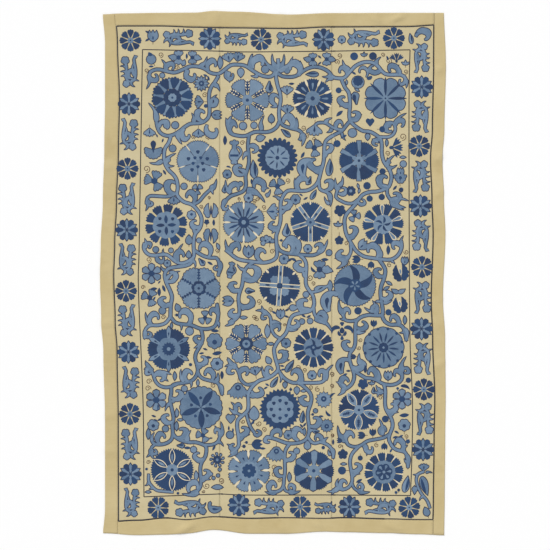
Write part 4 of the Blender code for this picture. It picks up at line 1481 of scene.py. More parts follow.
# Curled leaves: where each leaves its vine, the eye that it winds round, the way it winds and its width
CURLS = (
    (149, 75.3, 154.4, 76.5, 1, 5), (166, 70, 171, 67.7, -1, 5), (187, 69.7, 192, 75.3, 1, 5),
    (208.4, 70.2, 213, 65, -1, 5), (210, 106, 212.4, 101.3, 1, 5), (203.3, 121.2, 201.7, 114, -1, 5),
    (276.5, 105, 276, 98.4, -1, 5), (232.7, 133.6, 234.2, 127.4, -1, 4.5),
    (230.7, 193, 235.8, 188.4, -1, 5), (346, 76, 342, 71.5, 1, 4.5), (337, 129.2, 340, 124.8, -1, 4),
    (349.8, 119.5, 354.2, 114.7, 1, 5), (405, 79, 401.4, 81, -1, 4), (394.5, 126, 400.5, 124.5, -1, 5),
    (394, 123.5, 389.8, 129, 1, 5), (324.2, 151.5, 327.8, 147, 1, 4.5), (325.2, 190.4, 327.2, 183.8, 1, 5),
    (338.5, 193, 342.8, 190, 1, 4.5), (299, 190, 304, 182.8, -1, 5.5), (388, 187.5, 384.3, 179.7, -1, 5.5),
    (390, 201, 395, 196, 1, 5), (380.5, 141, 376.5, 143.5, 1, 4), (147.5, 204, 150, 203, 1, 3.5),
    (200, 226, 195.3, 223, -1, 4.5), (177.5, 262, 181, 255.8, -1, 5), (157.3, 255, 161.3, 258.3, 1, 4.5),
    (144.3, 247, 148.3, 246.5, -1, 4.5), (219, 268, 216.3, 267.3, -1, 3), (208.5, 257, 203.3, 249, 1, 5),
    (224, 203, 226.2, 206.3, 1, 4), (231.5, 252.5, 236.6, 248.8, -1, 6),
    (262, 261.5, 262.3, 253.5, -1, 4.5), (279, 226, 273.8, 224.3, -1, 5), (290, 253.5, 286.6, 245.5, 1, 5),
    (317, 253.5, 317.3, 247.5, 1, 5), (306, 268, 300.3, 264.5, -1, 6), (401, 248.5, 395.5, 246.8, 1, 5),
    (349.5, 255.5, 342.6, 253.5, -1, 6.5), (358, 201.6, 362, 201.3, 1, 4),
    (346.8, 235.5, 351.5, 229.8, 1, 4.5), (377, 257.5, 371.3, 250.5, 1, 5.5),
    (383.5, 276, 379.5, 271.5, -1, 5), (170.3, 304, 164.6, 300.3, -1, 5.5),
    (144.6, 335.5, 148, 333.8, 1, 4), (151.5, 324.5, 155.6, 318, -1, 4.5), (218, 317, 213, 313.5, 1, 4.5),
    (188.5, 324.5, 183.3, 316.3, 1, 5.5), (202, 341.5, 198.8, 338.3, -1, 5),
    (239.5, 290.5, 235, 285.5, -1, 5), (239.3, 313.5, 234, 312, -1, 6), (243.3, 279, 251.5, 271, 1, 6),
    (239, 302.7, 248, 300.3, 1, 5), (266, 314, 265, 317, 1, 4), (272, 331.5, 277, 329, -1, 4.5),
    (311, 310.5, 305, 303.5, -1, 6), (289, 324.5, 295, 322.8, 1, 4), (323.5, 323, 320.3, 316.8, 1, 5),
    (344, 317, 347.3, 313, -1, 5), (372.5, 312.5, 376, 309, -1, 4), (356, 326, 362.5, 324.3, 1, 4.5),
    (352, 349, 348, 344, -1, 5), (381, 297, 387, 294, 1, 4.5), (396.8, 324.6, 393, 319.8, 1, 4.5),
    (188.5, 381.5, 189.3, 374.5, -1, 5), (150.5, 368.5, 149.5, 372, 1, 4.5),
    (153.8, 377, 160.5, 378, -1, 6), (171.3, 397.5, 177.3, 393.5, 1, 5),
    (172.8, 421.5, 167.5, 417.5, -1, 5), (196.5, 362.5, 202.2, 359.3, 1, 4.5),
    (211.5, 380.5, 207.8, 374.3, 1, 5), (235, 366.5, 232.3, 371, 1, 5), (239.5, 375, 244.8, 373, -1, 5.5),
    (236, 411.5, 239, 408, -1, 4.5), (254, 433.5, 257, 432, 1, 5), (251.5, 391, 258.5, 390.5, 1, 5),
    (276.2, 361, 280.8, 354.5, 1, 5), (270, 375.5, 270.3, 370.3, -1, 4), (297, 382.5, 294.8, 374.5, 1, 5),
    (310.5, 402.5, 305.3, 399, -1, 5.5), (326.5, 378.5, 321.6, 374.8, 1, 4.5),
    (344, 388, 345.7, 381.5, -1, 5), (352.5, 366.5, 358.8, 363.3, 1, 6.5), (374.5, 379, 371, 373.3, 1, 5.5),
    (401.5, 378, 396.8, 374.6, 1, 4.5), (403.5, 368.5, 405.3, 371.3, -1, 5),
    (386.5, 409.5, 392, 406.4, 1, 5), (160, 443.8, 162.2, 437.5, -1, 5), (151, 451, 154.3, 451, 1, 4),
    (177, 437.5, 181.5, 431.7, 1, 5.5), (189, 492, 194.8, 486.8, -1, 5), (219.3, 434, 216.6, 432.3, 1, 4),
    (200.8, 476.5, 205.2, 472.6, 1, 4.5), (203, 458.5, 198.3, 455.3, -1, 4.5),
    (237.5, 447.5, 233.8, 446, -1, 5), (238.4, 434, 243, 430, 1, 5.5), (271, 438.2, 268.6, 440.6, 1, 5.5),
    (272, 438.5, 278, 434.5, -1, 4.5), (298.5, 440.5, 299.3, 432.8, -1, 5.5),
    (270.5, 491.5, 273.4, 486.5, -1, 5.5), (294, 490.5, 290.8, 488, 1, 4), (285, 458.5, 290, 454.8, 1, 4.5),
    (284.4, 475.5, 279.8, 470.3, -1, 4), (321, 442.5, 317.5, 438.8, 1, 4.5),
    (347.5, 443, 350.8, 436.8, -1, 5), (343, 489, 344.3, 483.7, -1, 4), (361, 490.5, 359.3, 486.8, 1, 3.5),
    (365.5, 445, 370, 448.5, 1, 4), (351, 470, 356, 466.3, 1, 5), (381, 434.5, 383.8, 430.6, -1, 4.5),
    (401, 450.5, 397.6, 443.8, 1, 5), (184.4, 129, 186.6, 135.2, 1, 5.5), (158.5, 130, 165.5, 126.4, -1, 4),
    (227, 71, 230.6, 75, 1, 5), (253, 68.5, 259.6, 63.3, -1, 6.5), (230.5, 131, 233.4, 125.5, -1, 5),
    (298.3, 75.3, 293.2, 68.2, 1, 6.5), (282, 207, 286.2, 202.8, 1, 5.5),
    (176, 193.5, 172.4, 185.2, -1, 5.5), (263, 191.5, 257, 185.6, 1, 6),
    (321, 166.5, 314.2, 162.4, -1, 5.5), (290.5, 128.5, 286.5, 121.5, 1, 7),
    (297, 253.5, 289.8, 245.6, 1, 7), (165.5, 280.5, 171.3, 275, 1, 4.5), (309.5, 425.5, 315, 420.5, 1, 5),
    (207, 125, 213.4, 130.6, 1, 5.4), (248.2, 147.5, 253, 150, -1, 5),
    (244.4, 174.4, 239.8, 168.4, -1, 4.8), (193, 203, 189.4, 196.6, 1, 5.2),
    (397.5, 72.5, 391.8, 69.8, 1, 5), (378.5, 70, 373, 68.2, -1, 4.6), (347.8, 103.6, 343.4, 99.4, -1, 4.8),
    (366.3, 77, 362, 71.4, 1, 2.6), (415.8, 36.6, 424.4, 36.6, -1, 6),
)

# Pointed leaves: where each leaves its vine, its tip, the side that it bows to and its width
HORNS = (
    (149, 75.3, 146.8, 88.5, 1, 5), (166, 70, 162, 60, -1, 5), (187, 69.7, 184, 78.4, 1, 5),
    (210, 106, 216.5, 95.2, 1, 5), (214.5, 84.5, 219.6, 90.6, 1, 5), (193.6, 122.2, 192, 113.6, -1, 5),
    (165.5, 163.4, 175.2, 153.7, 1, 5), (165.5, 164, 173.7, 166, -1, 4), (171.6, 194.5, 165, 185.3, 1, 5),
    (229, 72, 229.6, 82, -1, 5), (251.5, 67.8, 252.6, 55, 1, 5), (257.7, 75.4, 251.5, 76, 1, 4),
    (276.5, 105, 271, 107, 1, 4), (261.7, 130, 263.8, 116.2, 1, 5), (247.6, 152.7, 243, 159.3, -1, 5),
    (246, 173, 234.3, 169.5, -1, 5), (230.7, 193, 225.6, 180.7, 1, 5), (211, 189, 216.4, 179.7, -1, 6),
    (298.3, 75.3, 300.3, 61.5, -1, 5), (331, 75, 322.8, 76.8, 1, 4), (333, 78, 325.8, 82, -1, 4.5),
    (325.2, 123, 331.4, 118.2, 1, 4.5), (331.8, 129, 327.3, 132.4, 1, 4), (349.5, 106, 339, 103.4, 1, 5),
    (349.8, 119.5, 361.3, 115, -1, 5), (399.2, 75, 395.4, 64.2, -1, 5), (379.7, 70.2, 373.7, 75, 1, 4.5),
    (405, 79, 406.3, 87.5, 1, 4.5), (394.5, 126, 405.7, 113.6, 1, 5), (324, 157, 331.3, 152, 1, 4.5),
    (339.5, 186, 342.6, 177, -1, 4.5), (299, 190, 294.8, 178.7, 1, 5), (386.5, 167, 394, 155.7, 1, 5),
    (387, 167.5, 396.5, 165.4, -1, 4.5), (388, 187.5, 376, 179.2, 1, 5), (390, 201, 407.8, 200.6, 1, 5.5),
    (394, 202, 403.2, 209.8, -1, 6), (162.4, 160.8, 150.2, 163, 1, 5), (147.3, 200, 146, 210.3, 1, 5.5),
    (195.3, 233, 190.3, 227.3, -1, 4), (177.5, 262, 182.5, 244.3, 1, 5), (164, 254.5, 163.2, 249.4, 1, 2.2),
    (164.8, 270.5, 161, 266, 1, 3), (193.3, 260.5, 195.3, 267.2, 1, 2.6), (144.5, 248, 145, 239, -1, 5),
    (219.3, 262, 218.2, 276.2, 1, 5.5), (226, 200, 222.6, 210, -1, 5.5),
    (231.5, 252.5, 225.4, 240.2, 1, 5.5), (244.5, 270, 237.4, 264.7, 1, 3),
    (279.8, 199.5, 273.5, 196.3, -1, 3.2), (281, 213.5, 289.8, 209.5, 1, 4), (276, 229, 268.3, 227.7, 1, 5),
    (277, 230, 272.3, 233, -1, 4), (296, 253.5, 294.3, 241.3, 1, 5), (318, 252.5, 327.5, 240.3, -1, 5.5),
    (401, 246, 403, 236.4, 1, 4), (346, 259, 337, 268.5, 1, 7), (346, 259, 335.4, 258.3, -1, 6),
    (350, 238.5, 357, 231.5, -1, 4.5), (380, 257.5, 377.7, 245.3, -1, 5),
    (391.4, 261.3, 394.5, 263.4, 1, 2), (328.5, 193, 330.3, 206, 1, 5), (170.3, 304, 159.5, 304.7, 1, 5),
    (144.6, 331, 144.7, 339, 1, 4.5), (151.5, 324.5, 145.6, 312.8, 1, 5), (218.3, 314, 217, 303.3, 1, 5),
    (217.5, 322, 218.7, 327.3, 1, 3), (188.5, 324.5, 191.6, 313.3, -1, 5), (180.8, 325, 181.2, 329.8, 1, 2),
    (201.5, 341, 194.5, 347.8, 1, 6), (239.5, 290.5, 227.3, 286.8, 1, 5), (233, 320, 225.6, 325.8, 1, 6),
    (243, 273, 258.5, 278, -1, 6), (242.5, 279, 258, 282.8, 1, 4.5), (241.5, 309, 253.8, 306.6, 1, 5),
    (267, 314, 261.8, 306.3, 1, 5.5), (266, 313, 256.3, 310.6, -1, 5), (271.5, 322.5, 281, 323.8, 1, 4),
    (311, 310.5, 295.8, 302, 1, 5.5), (305.5, 277, 299, 269.5, -1, 5), (288.5, 328.5, 297.4, 329.6, -1, 4),
    (315, 290, 326, 286.5, 1, 4), (315, 318, 332, 331.3, 1, 8), (343.5, 314, 339, 300.3, 1, 6),
    (344, 319, 340.3, 318.6, 1, 3), (376, 314, 372.8, 301, -1, 6), (375, 311, 364.8, 307.8, 1, 4.5),
    (356.5, 331.5, 365.2, 331.8, -1, 4.5), (347, 350, 342, 342.3, -1, 4),
    (383.5, 302, 391.6, 300.4, -1, 4.5), (399, 324, 397.5, 317, -1, 4), (404.8, 331, 399.8, 332.8, 1, 3),
    (404.3, 329, 406.6, 341.2, 1, 6), (184, 381.5, 181, 369.8, 1, 4.5), (152.5, 371, 145.6, 361.2, 1, 6),
    (150, 368, 144.6, 369, -1, 4), (160, 373.5, 171, 374.4, 1, 5), (164, 375, 167.8, 380.8, -1, 4),
    (172, 402, 178.6, 399.8, 1, 4), (170.8, 403, 165.3, 410.4, -1, 4), (190.8, 382, 191, 387, 1, 2.4),
    (198, 368, 207.4, 364.2, 1, 5), (215.5, 382, 218, 373.4, -1, 5), (219.5, 385, 222.6, 395.2, 1, 5),
    (236, 367, 227.6, 358, 1, 7), (234, 366, 225.3, 366.3, -1, 5), (237, 412.5, 229.5, 408.3, 1, 5),
    (236, 411, 231.5, 402.5, -1, 5), (250, 394.5, 259, 396.3, -1, 5), (283, 353, 288, 351.3, 1, 4),
    (283, 358.5, 288.8, 360, -1, 4), (267.5, 377, 262, 366.8, 1, 5), (280.5, 373.5, 280.3, 382, 1, 3.4),
    (300.5, 383, 300.8, 371.3, -1, 5), (303, 402, 298.2, 397.3, 1, 4), (325, 380, 332.5, 365.2, 1, 6.5),
    (325.5, 375, 323, 368.8, 1, 3.5), (344, 389, 338.3, 395, 1, 5), (345, 389, 336.6, 382, -1, 6),
    (361, 364, 359.3, 354, 1, 6), (377.5, 380, 377.5, 369.2, -1, 6), (401.5, 372, 405.8, 357, 1, 6.5),
    (383, 391, 372.4, 391.5, 1, 5.5), (380, 390, 376.3, 385.8, 1, 4), (381, 391, 377.5, 396.5, -1, 4),
    (390.2, 415, 397.8, 412.2, 1, 4.5), (152, 441, 154, 433, 1, 3.5), (151.5, 449, 147, 456.8, 1, 5.5),
    (151.5, 451, 154, 458.6, -1, 5), (187, 441, 190.5, 430.8, 1, 6), (198, 491.5, 182.6, 493.8, 1, 7),
    (219.8, 436, 221, 422.3, -1, 6), (219.5, 430, 215.2, 426.4, 1, 3.5),
    (217.5, 441.5, 223.2, 445.7, 1, 3.5), (201.3, 481, 210, 479.5, 1, 4.5),
    (201, 461.5, 192.7, 456.5, 1, 4), (149, 482, 145.7, 485.4, 1, 3), (153, 487, 149.6, 489, 1, 3),
    (236, 450, 228.6, 456.6, 1, 6), (233, 451, 227.6, 444.3, -1, 5), (239.5, 440, 249.2, 434.7, 1, 5),
    (296.5, 431, 290.5, 428.6, 1, 4), (276, 492, 265.5, 491.8, 1, 5), (289, 491, 300, 491, -1, 6),
    (285, 461, 293, 460.5, 1, 4.5), (309.5, 431, 315.5, 430.5, 1, 3.5), (323, 443, 327.5, 437.6, 1, 5),
    (331.5, 449, 333.4, 458.6, 1, 5), (330.5, 455, 328.3, 450, 1, 3), (345.5, 441, 337.7, 426.2, 1, 7),
    (344.5, 436, 346, 430, -1, 3), (337.3, 486, 338, 479, 1, 3.5), (338.5, 487.5, 327.6, 491.5, 1, 5.5),
    (334, 489, 331.8, 494, 1, 4), (358, 490, 369.3, 492, -1, 6), (364, 445, 366.7, 455, 1, 5.5),
    (352, 476, 359.6, 473.8, 1, 4.5), (381.5, 435, 379.4, 419.5, -1, 5.5), (402.5, 451, 407, 445.8, 1, 6),
    (406.5, 455, 408, 468.3, 1, 5), (407, 462, 404.4, 459, 1, 3), (199.3, 67, 207, 57.2, -1, 5),
    (156.5, 121, 149, 103.5, -1, 6), (158, 127, 161.4, 120, -1, 4), (178.5, 132, 181.5, 143.7, -1, 6.5),
    (228, 127, 226, 118.5, -1, 5), (229, 126, 231.8, 116, 1, 6.5), (277.6, 71, 262.8, 56, 1, 6),
    (277.6, 69, 272.2, 54.7, 1, 6), (278.6, 69, 284, 55, -1, 6), (279, 71, 292.6, 57.4, -1, 6),
    (252.2, 69, 252, 54.5, 1, 7), (294, 129, 296.6, 118.2, -1, 6), (302, 134, 302, 145.5, 1, 7),
    (349.3, 70, 342.6, 60.6, 1, 5), (375.5, 65, 380.4, 57.4, 1, 5), (391, 126, 385.6, 121.2, 1, 4),
    (247, 190, 264.6, 202, 1, 8), (262, 190, 268.4, 188.2, 1, 4), (266, 196, 270.2, 190.2, -1, 4),
    (320.8, 171, 309.8, 167.6, 1, 7), (329.4, 204, 324.6, 197.4, 1, 3.4), (170, 161, 167, 157, 1, 3.4),
    (213, 186, 213, 193.8, -1, 6), (392, 201, 405, 207.5, -1, 9), (390, 163.5, 387.4, 158.4, 1, 3.4),
    (339, 190, 335.2, 178.8, 1, 6), (342, 133, 345.2, 140, -1, 3), (165.5, 280.5, 179.3, 271.4, 1, 4),
    (419.4, 473.2, 413.6, 474.6, 1, 2.4), (426, 472.6, 431.6, 472.6, 1, 2.2),
    (423, 496.4, 419.6, 500, -1, 2.2), (399, 75, 398.6, 65.6, 1, 4), (349, 104.6, 340, 106.6, -1, 3.4),
)

# Small motifs by kind: where each one's middle is, the way it faces (0 is up and 90 left) and its size
MOTIFS = {
    berry: (
        (162.3, 75.5, 0, 2.3), (175.2, 125.2, 0, 3.4), (166.5, 125.3, 0, 3), (184, 186.3, -90, 3),
        (243, 126, 20, 3.6), (254, 125.4, -10, 3), (240.4, 184, 90, 2.3), (403.2, 164, -60, 3),
        (155.8, 249.6, 0, 2.8), (171, 250.4, 0, 2.2), (199, 240.4, -90, 2.3), (257.8, 270, 180, 2.8),
        (329, 252.7, -40, 2.8), (162.4, 310.8, 90, 3.3), (189.5, 331.2, 180, 3.8), (306, 294.5, 90, 2.8),
        (302, 321.5, 200, 2.6), (310, 321, 180, 2.6), (184.4, 388.6, 180, 2.8), (315.5, 410.8, -70, 2),
        (165.5, 428.7, 90, 3), (193.6, 449.6, 180, 3), (230, 434.8, 90, 3.6), (296.6, 451, 180, 2.8),
        (151.2, 59.4, 30, 4.6), (265.2, 69.4, 0, 3.6), (287, 70.6, 0, 2.8), (172.6, 148.5, 180, 3.3),
        (352.4, 133, 130, 4.2), (211, 474, 0, 1.5), (213.5, 478, 0, 1.5), (218, 475.5, 0, 1.5),
        (219.7, 469.5, 0, 1.5), (414.8, 489.2, -60, 2.6),
    ),
    seed: (
        (338.6, 90.4, 90, 3), (337, 143.7, 200, 3.6), (382.4, 129.3, -90, 3.2), (382.5, 171.5, 90, 3.2),
        (381.7, 197, 170, 3.2), (367, 185.8, 20, 3.8), (369.6, 198.6, 180, 3.2), (205.8, 106, 90, 2),
        (401, 190, 0, 2.4), (281.3, 240.4, -90, 1.4), (176.7, 315, -90, 1.5), (358, 310.8, 20, 3.8),
        (388.4, 312.3, -60, 3.2), (290.7, 389.4, 180, 1.5), (312.7, 414.4, -80, 1.4),
        (408.3, 380.2, -60, 2.7), (385.3, 419, 60, 3.5), (360.2, 458, 180, 2.6), (342, 470.5, 90, 4.1),
        (246.5, 442.4, -90, 1.5), (244, 446.3, -90, 1.8), (398.6, 490, 0, 1.5), (396, 492.4, 0, 1.5),
        (397.6, 388.4, 0, 1.4),
    ),
    bead: (
        (190.5, 364.6, 0, 1.7), (146.6, 469, 0, 1.4), (178, 493.2, 0, 1.4), (323.2, 447.6, 0, 1.8),
        (354.1, 56.4, 0, 4), (372.9, 56.2, 0, 4), (401.2, 189.6, 0, 2.2), (382.4, 129.2, 0, 3),
    ),
    dark_heart: (
        (370, 122.2, 0, 4.3),
    ),
    heart: (
        (230.7, 418.5, 0, 4.4),
    ),
    bud: (
        (189, 240, 0, 4.3), (188.7, 254.7, 0, 3.2), (177.8, 307.8, 20, 3.6), (293.3, 307.8, -90, 3.8),
        (285, 384.8, 180, 2.8), (296.8, 390.4, 180, 3.4), (268.5, 360.3, 30, 3.6), (183.6, 63, -20, 2.6),
        (367.6, 136.7, 180, 3), (271.4, 118.8, 0, 4), (260.4, 138.2, -75, 4.2), (240.8, 72.6, 180, 4.2),
        (254, 413.6, 0, 6.4), (307.4, 445.2, 0, 4.2), (426.4, 511.8, 20, 4.2),
    ),
    leaf: (
        (218, 246.5, 20, 3.2), (243.5, 317.4, -90, 3.4), (267.2, 331.2, 0, 6.4), (270.8, 344, 90, 3),
        (329.8, 286, 0, 5.4), (389, 283.3, 60, 3), (386.3, 288.4, 120, 3), (378.2, 301.6, 90, 2.8),
        (404.7, 320, 0, 4), (174.7, 376, 0, 4), (176.7, 413, 0, 4), (180.3, 419.7, -90, 2.5),
        (176.7, 426, 180, 4.4), (303.5, 391, 90, 2.4), (148.2, 433.8, 0, 5), (196, 475.6, 0, 4.4),
        (148.2, 492, 90, 2.5), (217.4, 487.3, 90, 5.4), (304.5, 431.7, 180, 3.5), (289.2, 477, 0, 4.4),
        (343.6, 464, 90, 2.6), (414.4, 490, 0, 4), (171.6, 325.6, 180, 2.6), (198, 382.8, 180, 3),
        (220, 62.7, 0, 6), (346.5, 82.4, 0, 2), (357, 90, 60, 2.2), (375.5, 141, 60, 3.4),
        (402.9, 157.4, 90, 2.6), (358, 186, 10, 2), (359, 190.8, -10, 2), (386.6, 142.8, 0, 3.2),
    ),
    dark_leaf: (
        (224.8, 140.4, 0, 5), (339.6, 113.6, 130, 4.4), (343.6, 136.8, 120, 3.6), (369.4, 77.8, 120, 3.4),
        (210, 263.4, 60, 3.2), (324.7, 259.8, 90, 4), (388, 250, 0, 5), (213.9, 222.6, 180, 3.4),
        (153.8, 289, 95, 3.8), (159.4, 292, 180, 4.4), (164, 288.4, 200, 3.8), (159.4, 282.2, 140, 2),
        (154.3, 298.6, 150, 2.4), (215, 331, 90, 4), (274, 312.6, 60, 2.8), (287, 309.8, -60, 2.8),
        (286.6, 316.4, -110, 2.6), (303.5, 316, 60, 2.6), (308.6, 316.4, -60, 2.6), (153.8, 416.2, 70, 2.6),
        (159.4, 419.5, -60, 2.6), (155.3, 421, 90, 2.2), (205.2, 349.3, 70, 2.6), (201.6, 353.4, 100, 2.6),
        (208.5, 357.2, -100, 3.4), (217, 353, -80, 5), (221.8, 375, 0, 4.4), (282, 366, 80, 2.4),
        (283, 369.7, 100, 2.4), (267.2, 384.8, 60, 2.4), (265.7, 388, 120, 2.4), (348.4, 371, 90, 2.6),
        (345, 374.6, 110, 2.6), (365, 369, 0, 4.4), (321, 416.4, 90, 2.6), (404.2, 415, -85, 5),
        (187.4, 448, 90, 3.6), (214, 448, 150, 3), (228.7, 428.2, 0, 2.4), (232.8, 430.2, 0, 2.4),
        (262.7, 448.6, 90, 3), (301.4, 426, 40, 2.6), (304.5, 424.6, -40, 2.6), (303, 420.5, 0, 2.4),
        (333, 442, 0, 3), (359, 480.7, -60, 3.6), (396.5, 432.2, 60, 2.8), (395, 437.3, 110, 2.8),
        (400.6, 436.3, -60, 2.8), (391, 450.6, 150, 2.4), (210.8, 438, -90, 2), (293.8, 259.8, 60, 3.4),
        (289.6, 259.8, -60, 3.4), (151.2, 66.6, 90, 2.6), (186.6, 56.3, 0, 2.8), (205.4, 75.6, 70, 2.6),
        (208.4, 78.3, 20, 2.6), (156.9, 135.7, 20, 2), (162.6, 140.5, -20, 2.2), (319.5, 57, 50, 2.4),
        (319.5, 63.3, -50, 2.4), (291.5, 83.7, -90, 3), (370, 78.6, -60, 2.8), (353.6, 73.2, 60, 2.8),
        (250.8, 174.8, 30, 2.2), (251.4, 181.4, 0, 2.8), (302.6, 155, -30, 3.6), (301, 195, 60, 2.2),
        (305.5, 198.4, -60, 2.6), (394.8, 187.8, -40, 3), (387.4, 58.2, 20, 2.6), (164.4, 172.4, 30, 3),
        (157.6, 407.5, 0, 3.4), (252.6, 422.4, -40, 3), (147.6, 32.4, 60, 2.8), (147.6, 40, 120, 2.8),
    ),
    drop: (
        (269.4, 87, 0, 5.6), (201.6, 261.8, 40, 4), (286.6, 230.2, 0, 6.2), (224.6, 189, 0, 3.6),
        (250, 291, -90, 4.4), (180.8, 445.5, 90, 3.6), (316, 431.2, -90, 3), (373.7, 390.4, 0, 3),
        (309.2, 180.6, -20, 4), (355.4, 98.4, 190, 6),
    ),
    clover: (
        (264.7, 240.4, 60, 4.4), (269.6, 241, 0, 4),
    ),
    dark_clover: (
        (206.7, 222, 0, 2.8), (339.2, 240.4, 180, 4.6), (407.8, 441.4, 0, 2.4), (363, 384, 0, 5.4),
        (342.8, 454.2, 180, 5.2), (340, 210.6, 0, 6),
    ),
    tulip: (
        (216.5, 115, -90, 4.6), (248.6, 251.6, 0, 5.8), (404.7, 260.8, 0, 3.6), (280.5, 314, 0, 4.4),
        (388, 375.6, 0, 4.3), (228.2, 301, 90, 5.2), (153, 36, 0, 5.4), (400.4, 171.8, 0, 3.6),
        (363, 245, -45, 5.2),
    ),
    dark_tulip: (
        (356.3, 259.3, 90, 4.4), (371, 265, 180, 3.6), (373.7, 323.3, 0, 3.6), (353.3, 356.7, 90, 2.8),
        (339.5, 440.4, 90, 3), (361.4, 435.3, 90, 4), (372.7, 432.2, 0, 3.8), (384.3, 446.5, 180, 3.5),
        (257, 444.3, -90, 5.6),
    ),
    palmette: (
        (199.2, 101.8, 90, 4.6), (400, 177.7, 0, 5), (228.6, 57.6, 10, 4.8), (238.2, 57, -10, 4.8),
        (287.3, 109.5, 0, 4.8), (272.3, 211.6, -90, 6), (287, 90.4, 0, 4.6), (149.6, 132.2, 180, 4.4),
        (198.4, 133.2, 180, 4.4), (173.8, 200.2, 180, 4.4), (255, 371, 10, 4.6), (423.8, 467.4, 0, 3.8),
        (314.4, 130, 176, 6),
    ),
    twin_leaves: (
        (211, 210.5, 0, 7), (210.8, 236, 180, 7),
    ),
    dark_palmette: (
        (400.5, 272.5, 10, 8.6), (400, 304.7, 10, 8),
    ),
    flower: (
        (191.5, 215, 180, 4.3), (167.3, 263.4, 180, 3.4), (248.6, 197.6, 0, 4.5), (284, 259.3, 180, 4.7),
        (307.8, 248.6, 0, 4), (286, 343, 0, 4.6), (312, 375, 0, 4.3), (153.3, 425, 0, 5.5),
        (404.2, 425, 0, 5.8), (217, 364, 160, 6), (295.5, 199.4, 0, 4.8), (400.4, 178.5, 180, 4.8),
        (214.6, 341, 0, 7.6), (288.3, 434.7, 0, 4.4), (341.8, 39.6, 0, 3.6), (227.2, 174.2, 0, 4.2),
    ),
    saw_flower: (
        (323.7, 399.6, 180, 8), (326.7, 425.6, 0, 6.6),
    ),
    lobed_flower: (
        (151.5, 273.5, 0, 9.6), (156.3, 400, 0, 10), (402, 399, 0, 9.4),
    ),
    dark_flower: (
        (350.7, 191, 0, 5.2),
    ),
    crown: (
        (238, 390.5, 180, 8), (276.4, 453.7, 180, 7.4),
    ),
    paisley: (
        (327.2, 302, 0, 9.6), (341, 366, 0, 7.4), (303, 168, 0, 8.6), (215, 508.8, 90, 6),
    ),
    dark_carnation: (
        (396.5, 57.2, 0, 5), (397, 147.6, -90, 7),
    ),
    pitcher: (
        (234.3, 150.6, 0, 11), (231, 269, -10, 7.4),
    ),
    dark_iris: (
        (342, 331, 0, 8.6),
    ),
    sprig: (
        (371.6, 383.8, 0, 3), (338, 225.4, 0, 4), (405.5, 64, 0, 3.6), (364, 55.4, 0, 3),
    ),
    bow: (
        (398.3, 292.4, 0, 7),
    ),
    comma: (
        (332.4, 395, 0, 3.4), (327.8, 413.4, 90, 3.8), (405.4, 387, -60, 5), (313, 269.5, 90, 3.8),
        (228.8, 167.2, -60, 2.6), (417.6, 33.2, -40, 2.6),
    ),
    tendril: (
        (146.4, 70.7, 0, 2.2), (177, 67.7, 90, 2.2), (204.8, 95.2, 90, 2.6), (146.6, 169, 0, 3.5),
        (242.4, 143, 90, 2.4), (287.7, 180.7, 0, 2.4), (303.4, 128, 0, 2.4), (306.4, 135.6, 0, 2.4),
        (405.7, 71.8, 0, 2.2), (402.7, 136.8, 0, 3.4), (387.3, 153.2, 0, 2.4), (148.7, 259.8, 0, 2.7),
        (209, 197.5, 0, 1.5), (201, 206.7, 0, 2), (217, 250.6, 0, 2.2), (239.4, 199, 180, 1.6),
        (254.2, 201, 0, 2), (257.6, 199.6, 90, 2), (263.7, 207.2, 0, 2.2), (272.3, 251.6, 90, 2.5),
        (346.6, 243.5, 90, 2.2), (341.5, 266, 0, 2), (347.7, 262.3, 0, 2), (406.2, 252, -90, 2.3),
        (389.4, 265, 180, 2.2), (143, 287.3, 90, 2), (163.5, 317.4, 90, 2.3), (254, 317, 0, 2.2),
        (259, 301.6, 0, 2.5), (270.3, 309.3, 0, 2.2), (257, 319, 180, 2.2), (284.6, 325, 90, 1.5),
        (310, 277.7, -90, 3), (313.2, 283.3, 0, 2), (311, 299, 90, 1.8), (360.4, 340, -90, 2),
        (359, 348, -90, 2), (149, 381.5, 90, 2.7), (148, 388.4, 90, 2.7), (213.4, 385.3, 180, 2.5),
        (243, 421.5, -90, 2), (259, 423.5, -90, 2.6), (298, 367.4, 0, 2.5), (304.5, 370, 0, 2),
        (310.6, 387.3, -60, 2.3), (317.6, 389.4, 180, 2.5), (331.8, 374, 0, 2.3), (331.8, 385.8, 0, 2),
        (380.7, 397.6, 90, 2.3), (148.4, 462.3, 90, 2), (206.7, 485.8, -90, 3), (221.3, 480.7, 0, 2.7),
        (203.7, 491.4, -90, 1.5), (264, 429.2, 0, 2.4), (274, 467.4, 90, 2.5), (274, 474.6, 90, 2.5),
        (279.5, 480.7, 90, 2), (332.3, 435.3, 0, 1.7), (340, 446.5, 90, 2), (406.2, 436.3, 0, 2),
        (376.6, 445.2, 180, 2.2), (160.7, 55, 0, 2.6), (193, 137.3, 40, 2), (207.3, 137.4, 20, 2.2),
        (339.5, 55.7, 0, 2.4), (336.8, 61.8, 40, 2.6), (388.6, 61, 0, 3.2), (382.8, 54.7, 0, 2),
        (313.8, 139, 0, 2),
    ),
    dark_bud: (
        (150.4, 55.4, 30, 3.4),
    ),
    eyed_flower: (
        (178.6, 57.6, 0, 6.2), (192.4, 57.6, 180, 5.6), (312.8, 59.6, 0, 5.6), (326.6, 59.2, 180, 5.6),
        (319.5, 269.5, 180, 8.2),
    ),
    star_flower: (
        (201.4, 83.5, 0, 7.2),
    ),
    half_leaf: (
        (312.2, 74.5, 90, 6), (285.7, 133.2, 50, 5.4), (253.6, 169.2, 4, 8.6), (329.2, 167.4, -4, 8),
        (313.4, 194.6, -30, 5), (289.6, 366, -35, 6.6), (274.3, 382, -35, 5.6), (302.3, 416.8, -8, 5.4),
        (406, 484, -14, 8), (424.8, 485.8, 197, 9.4), (410.8, 38.8, 10, 4.8),
    ),
    cupped_bud: (
        (153.3, 149.6, 0, 8.8),
    ),
    trefoil: (
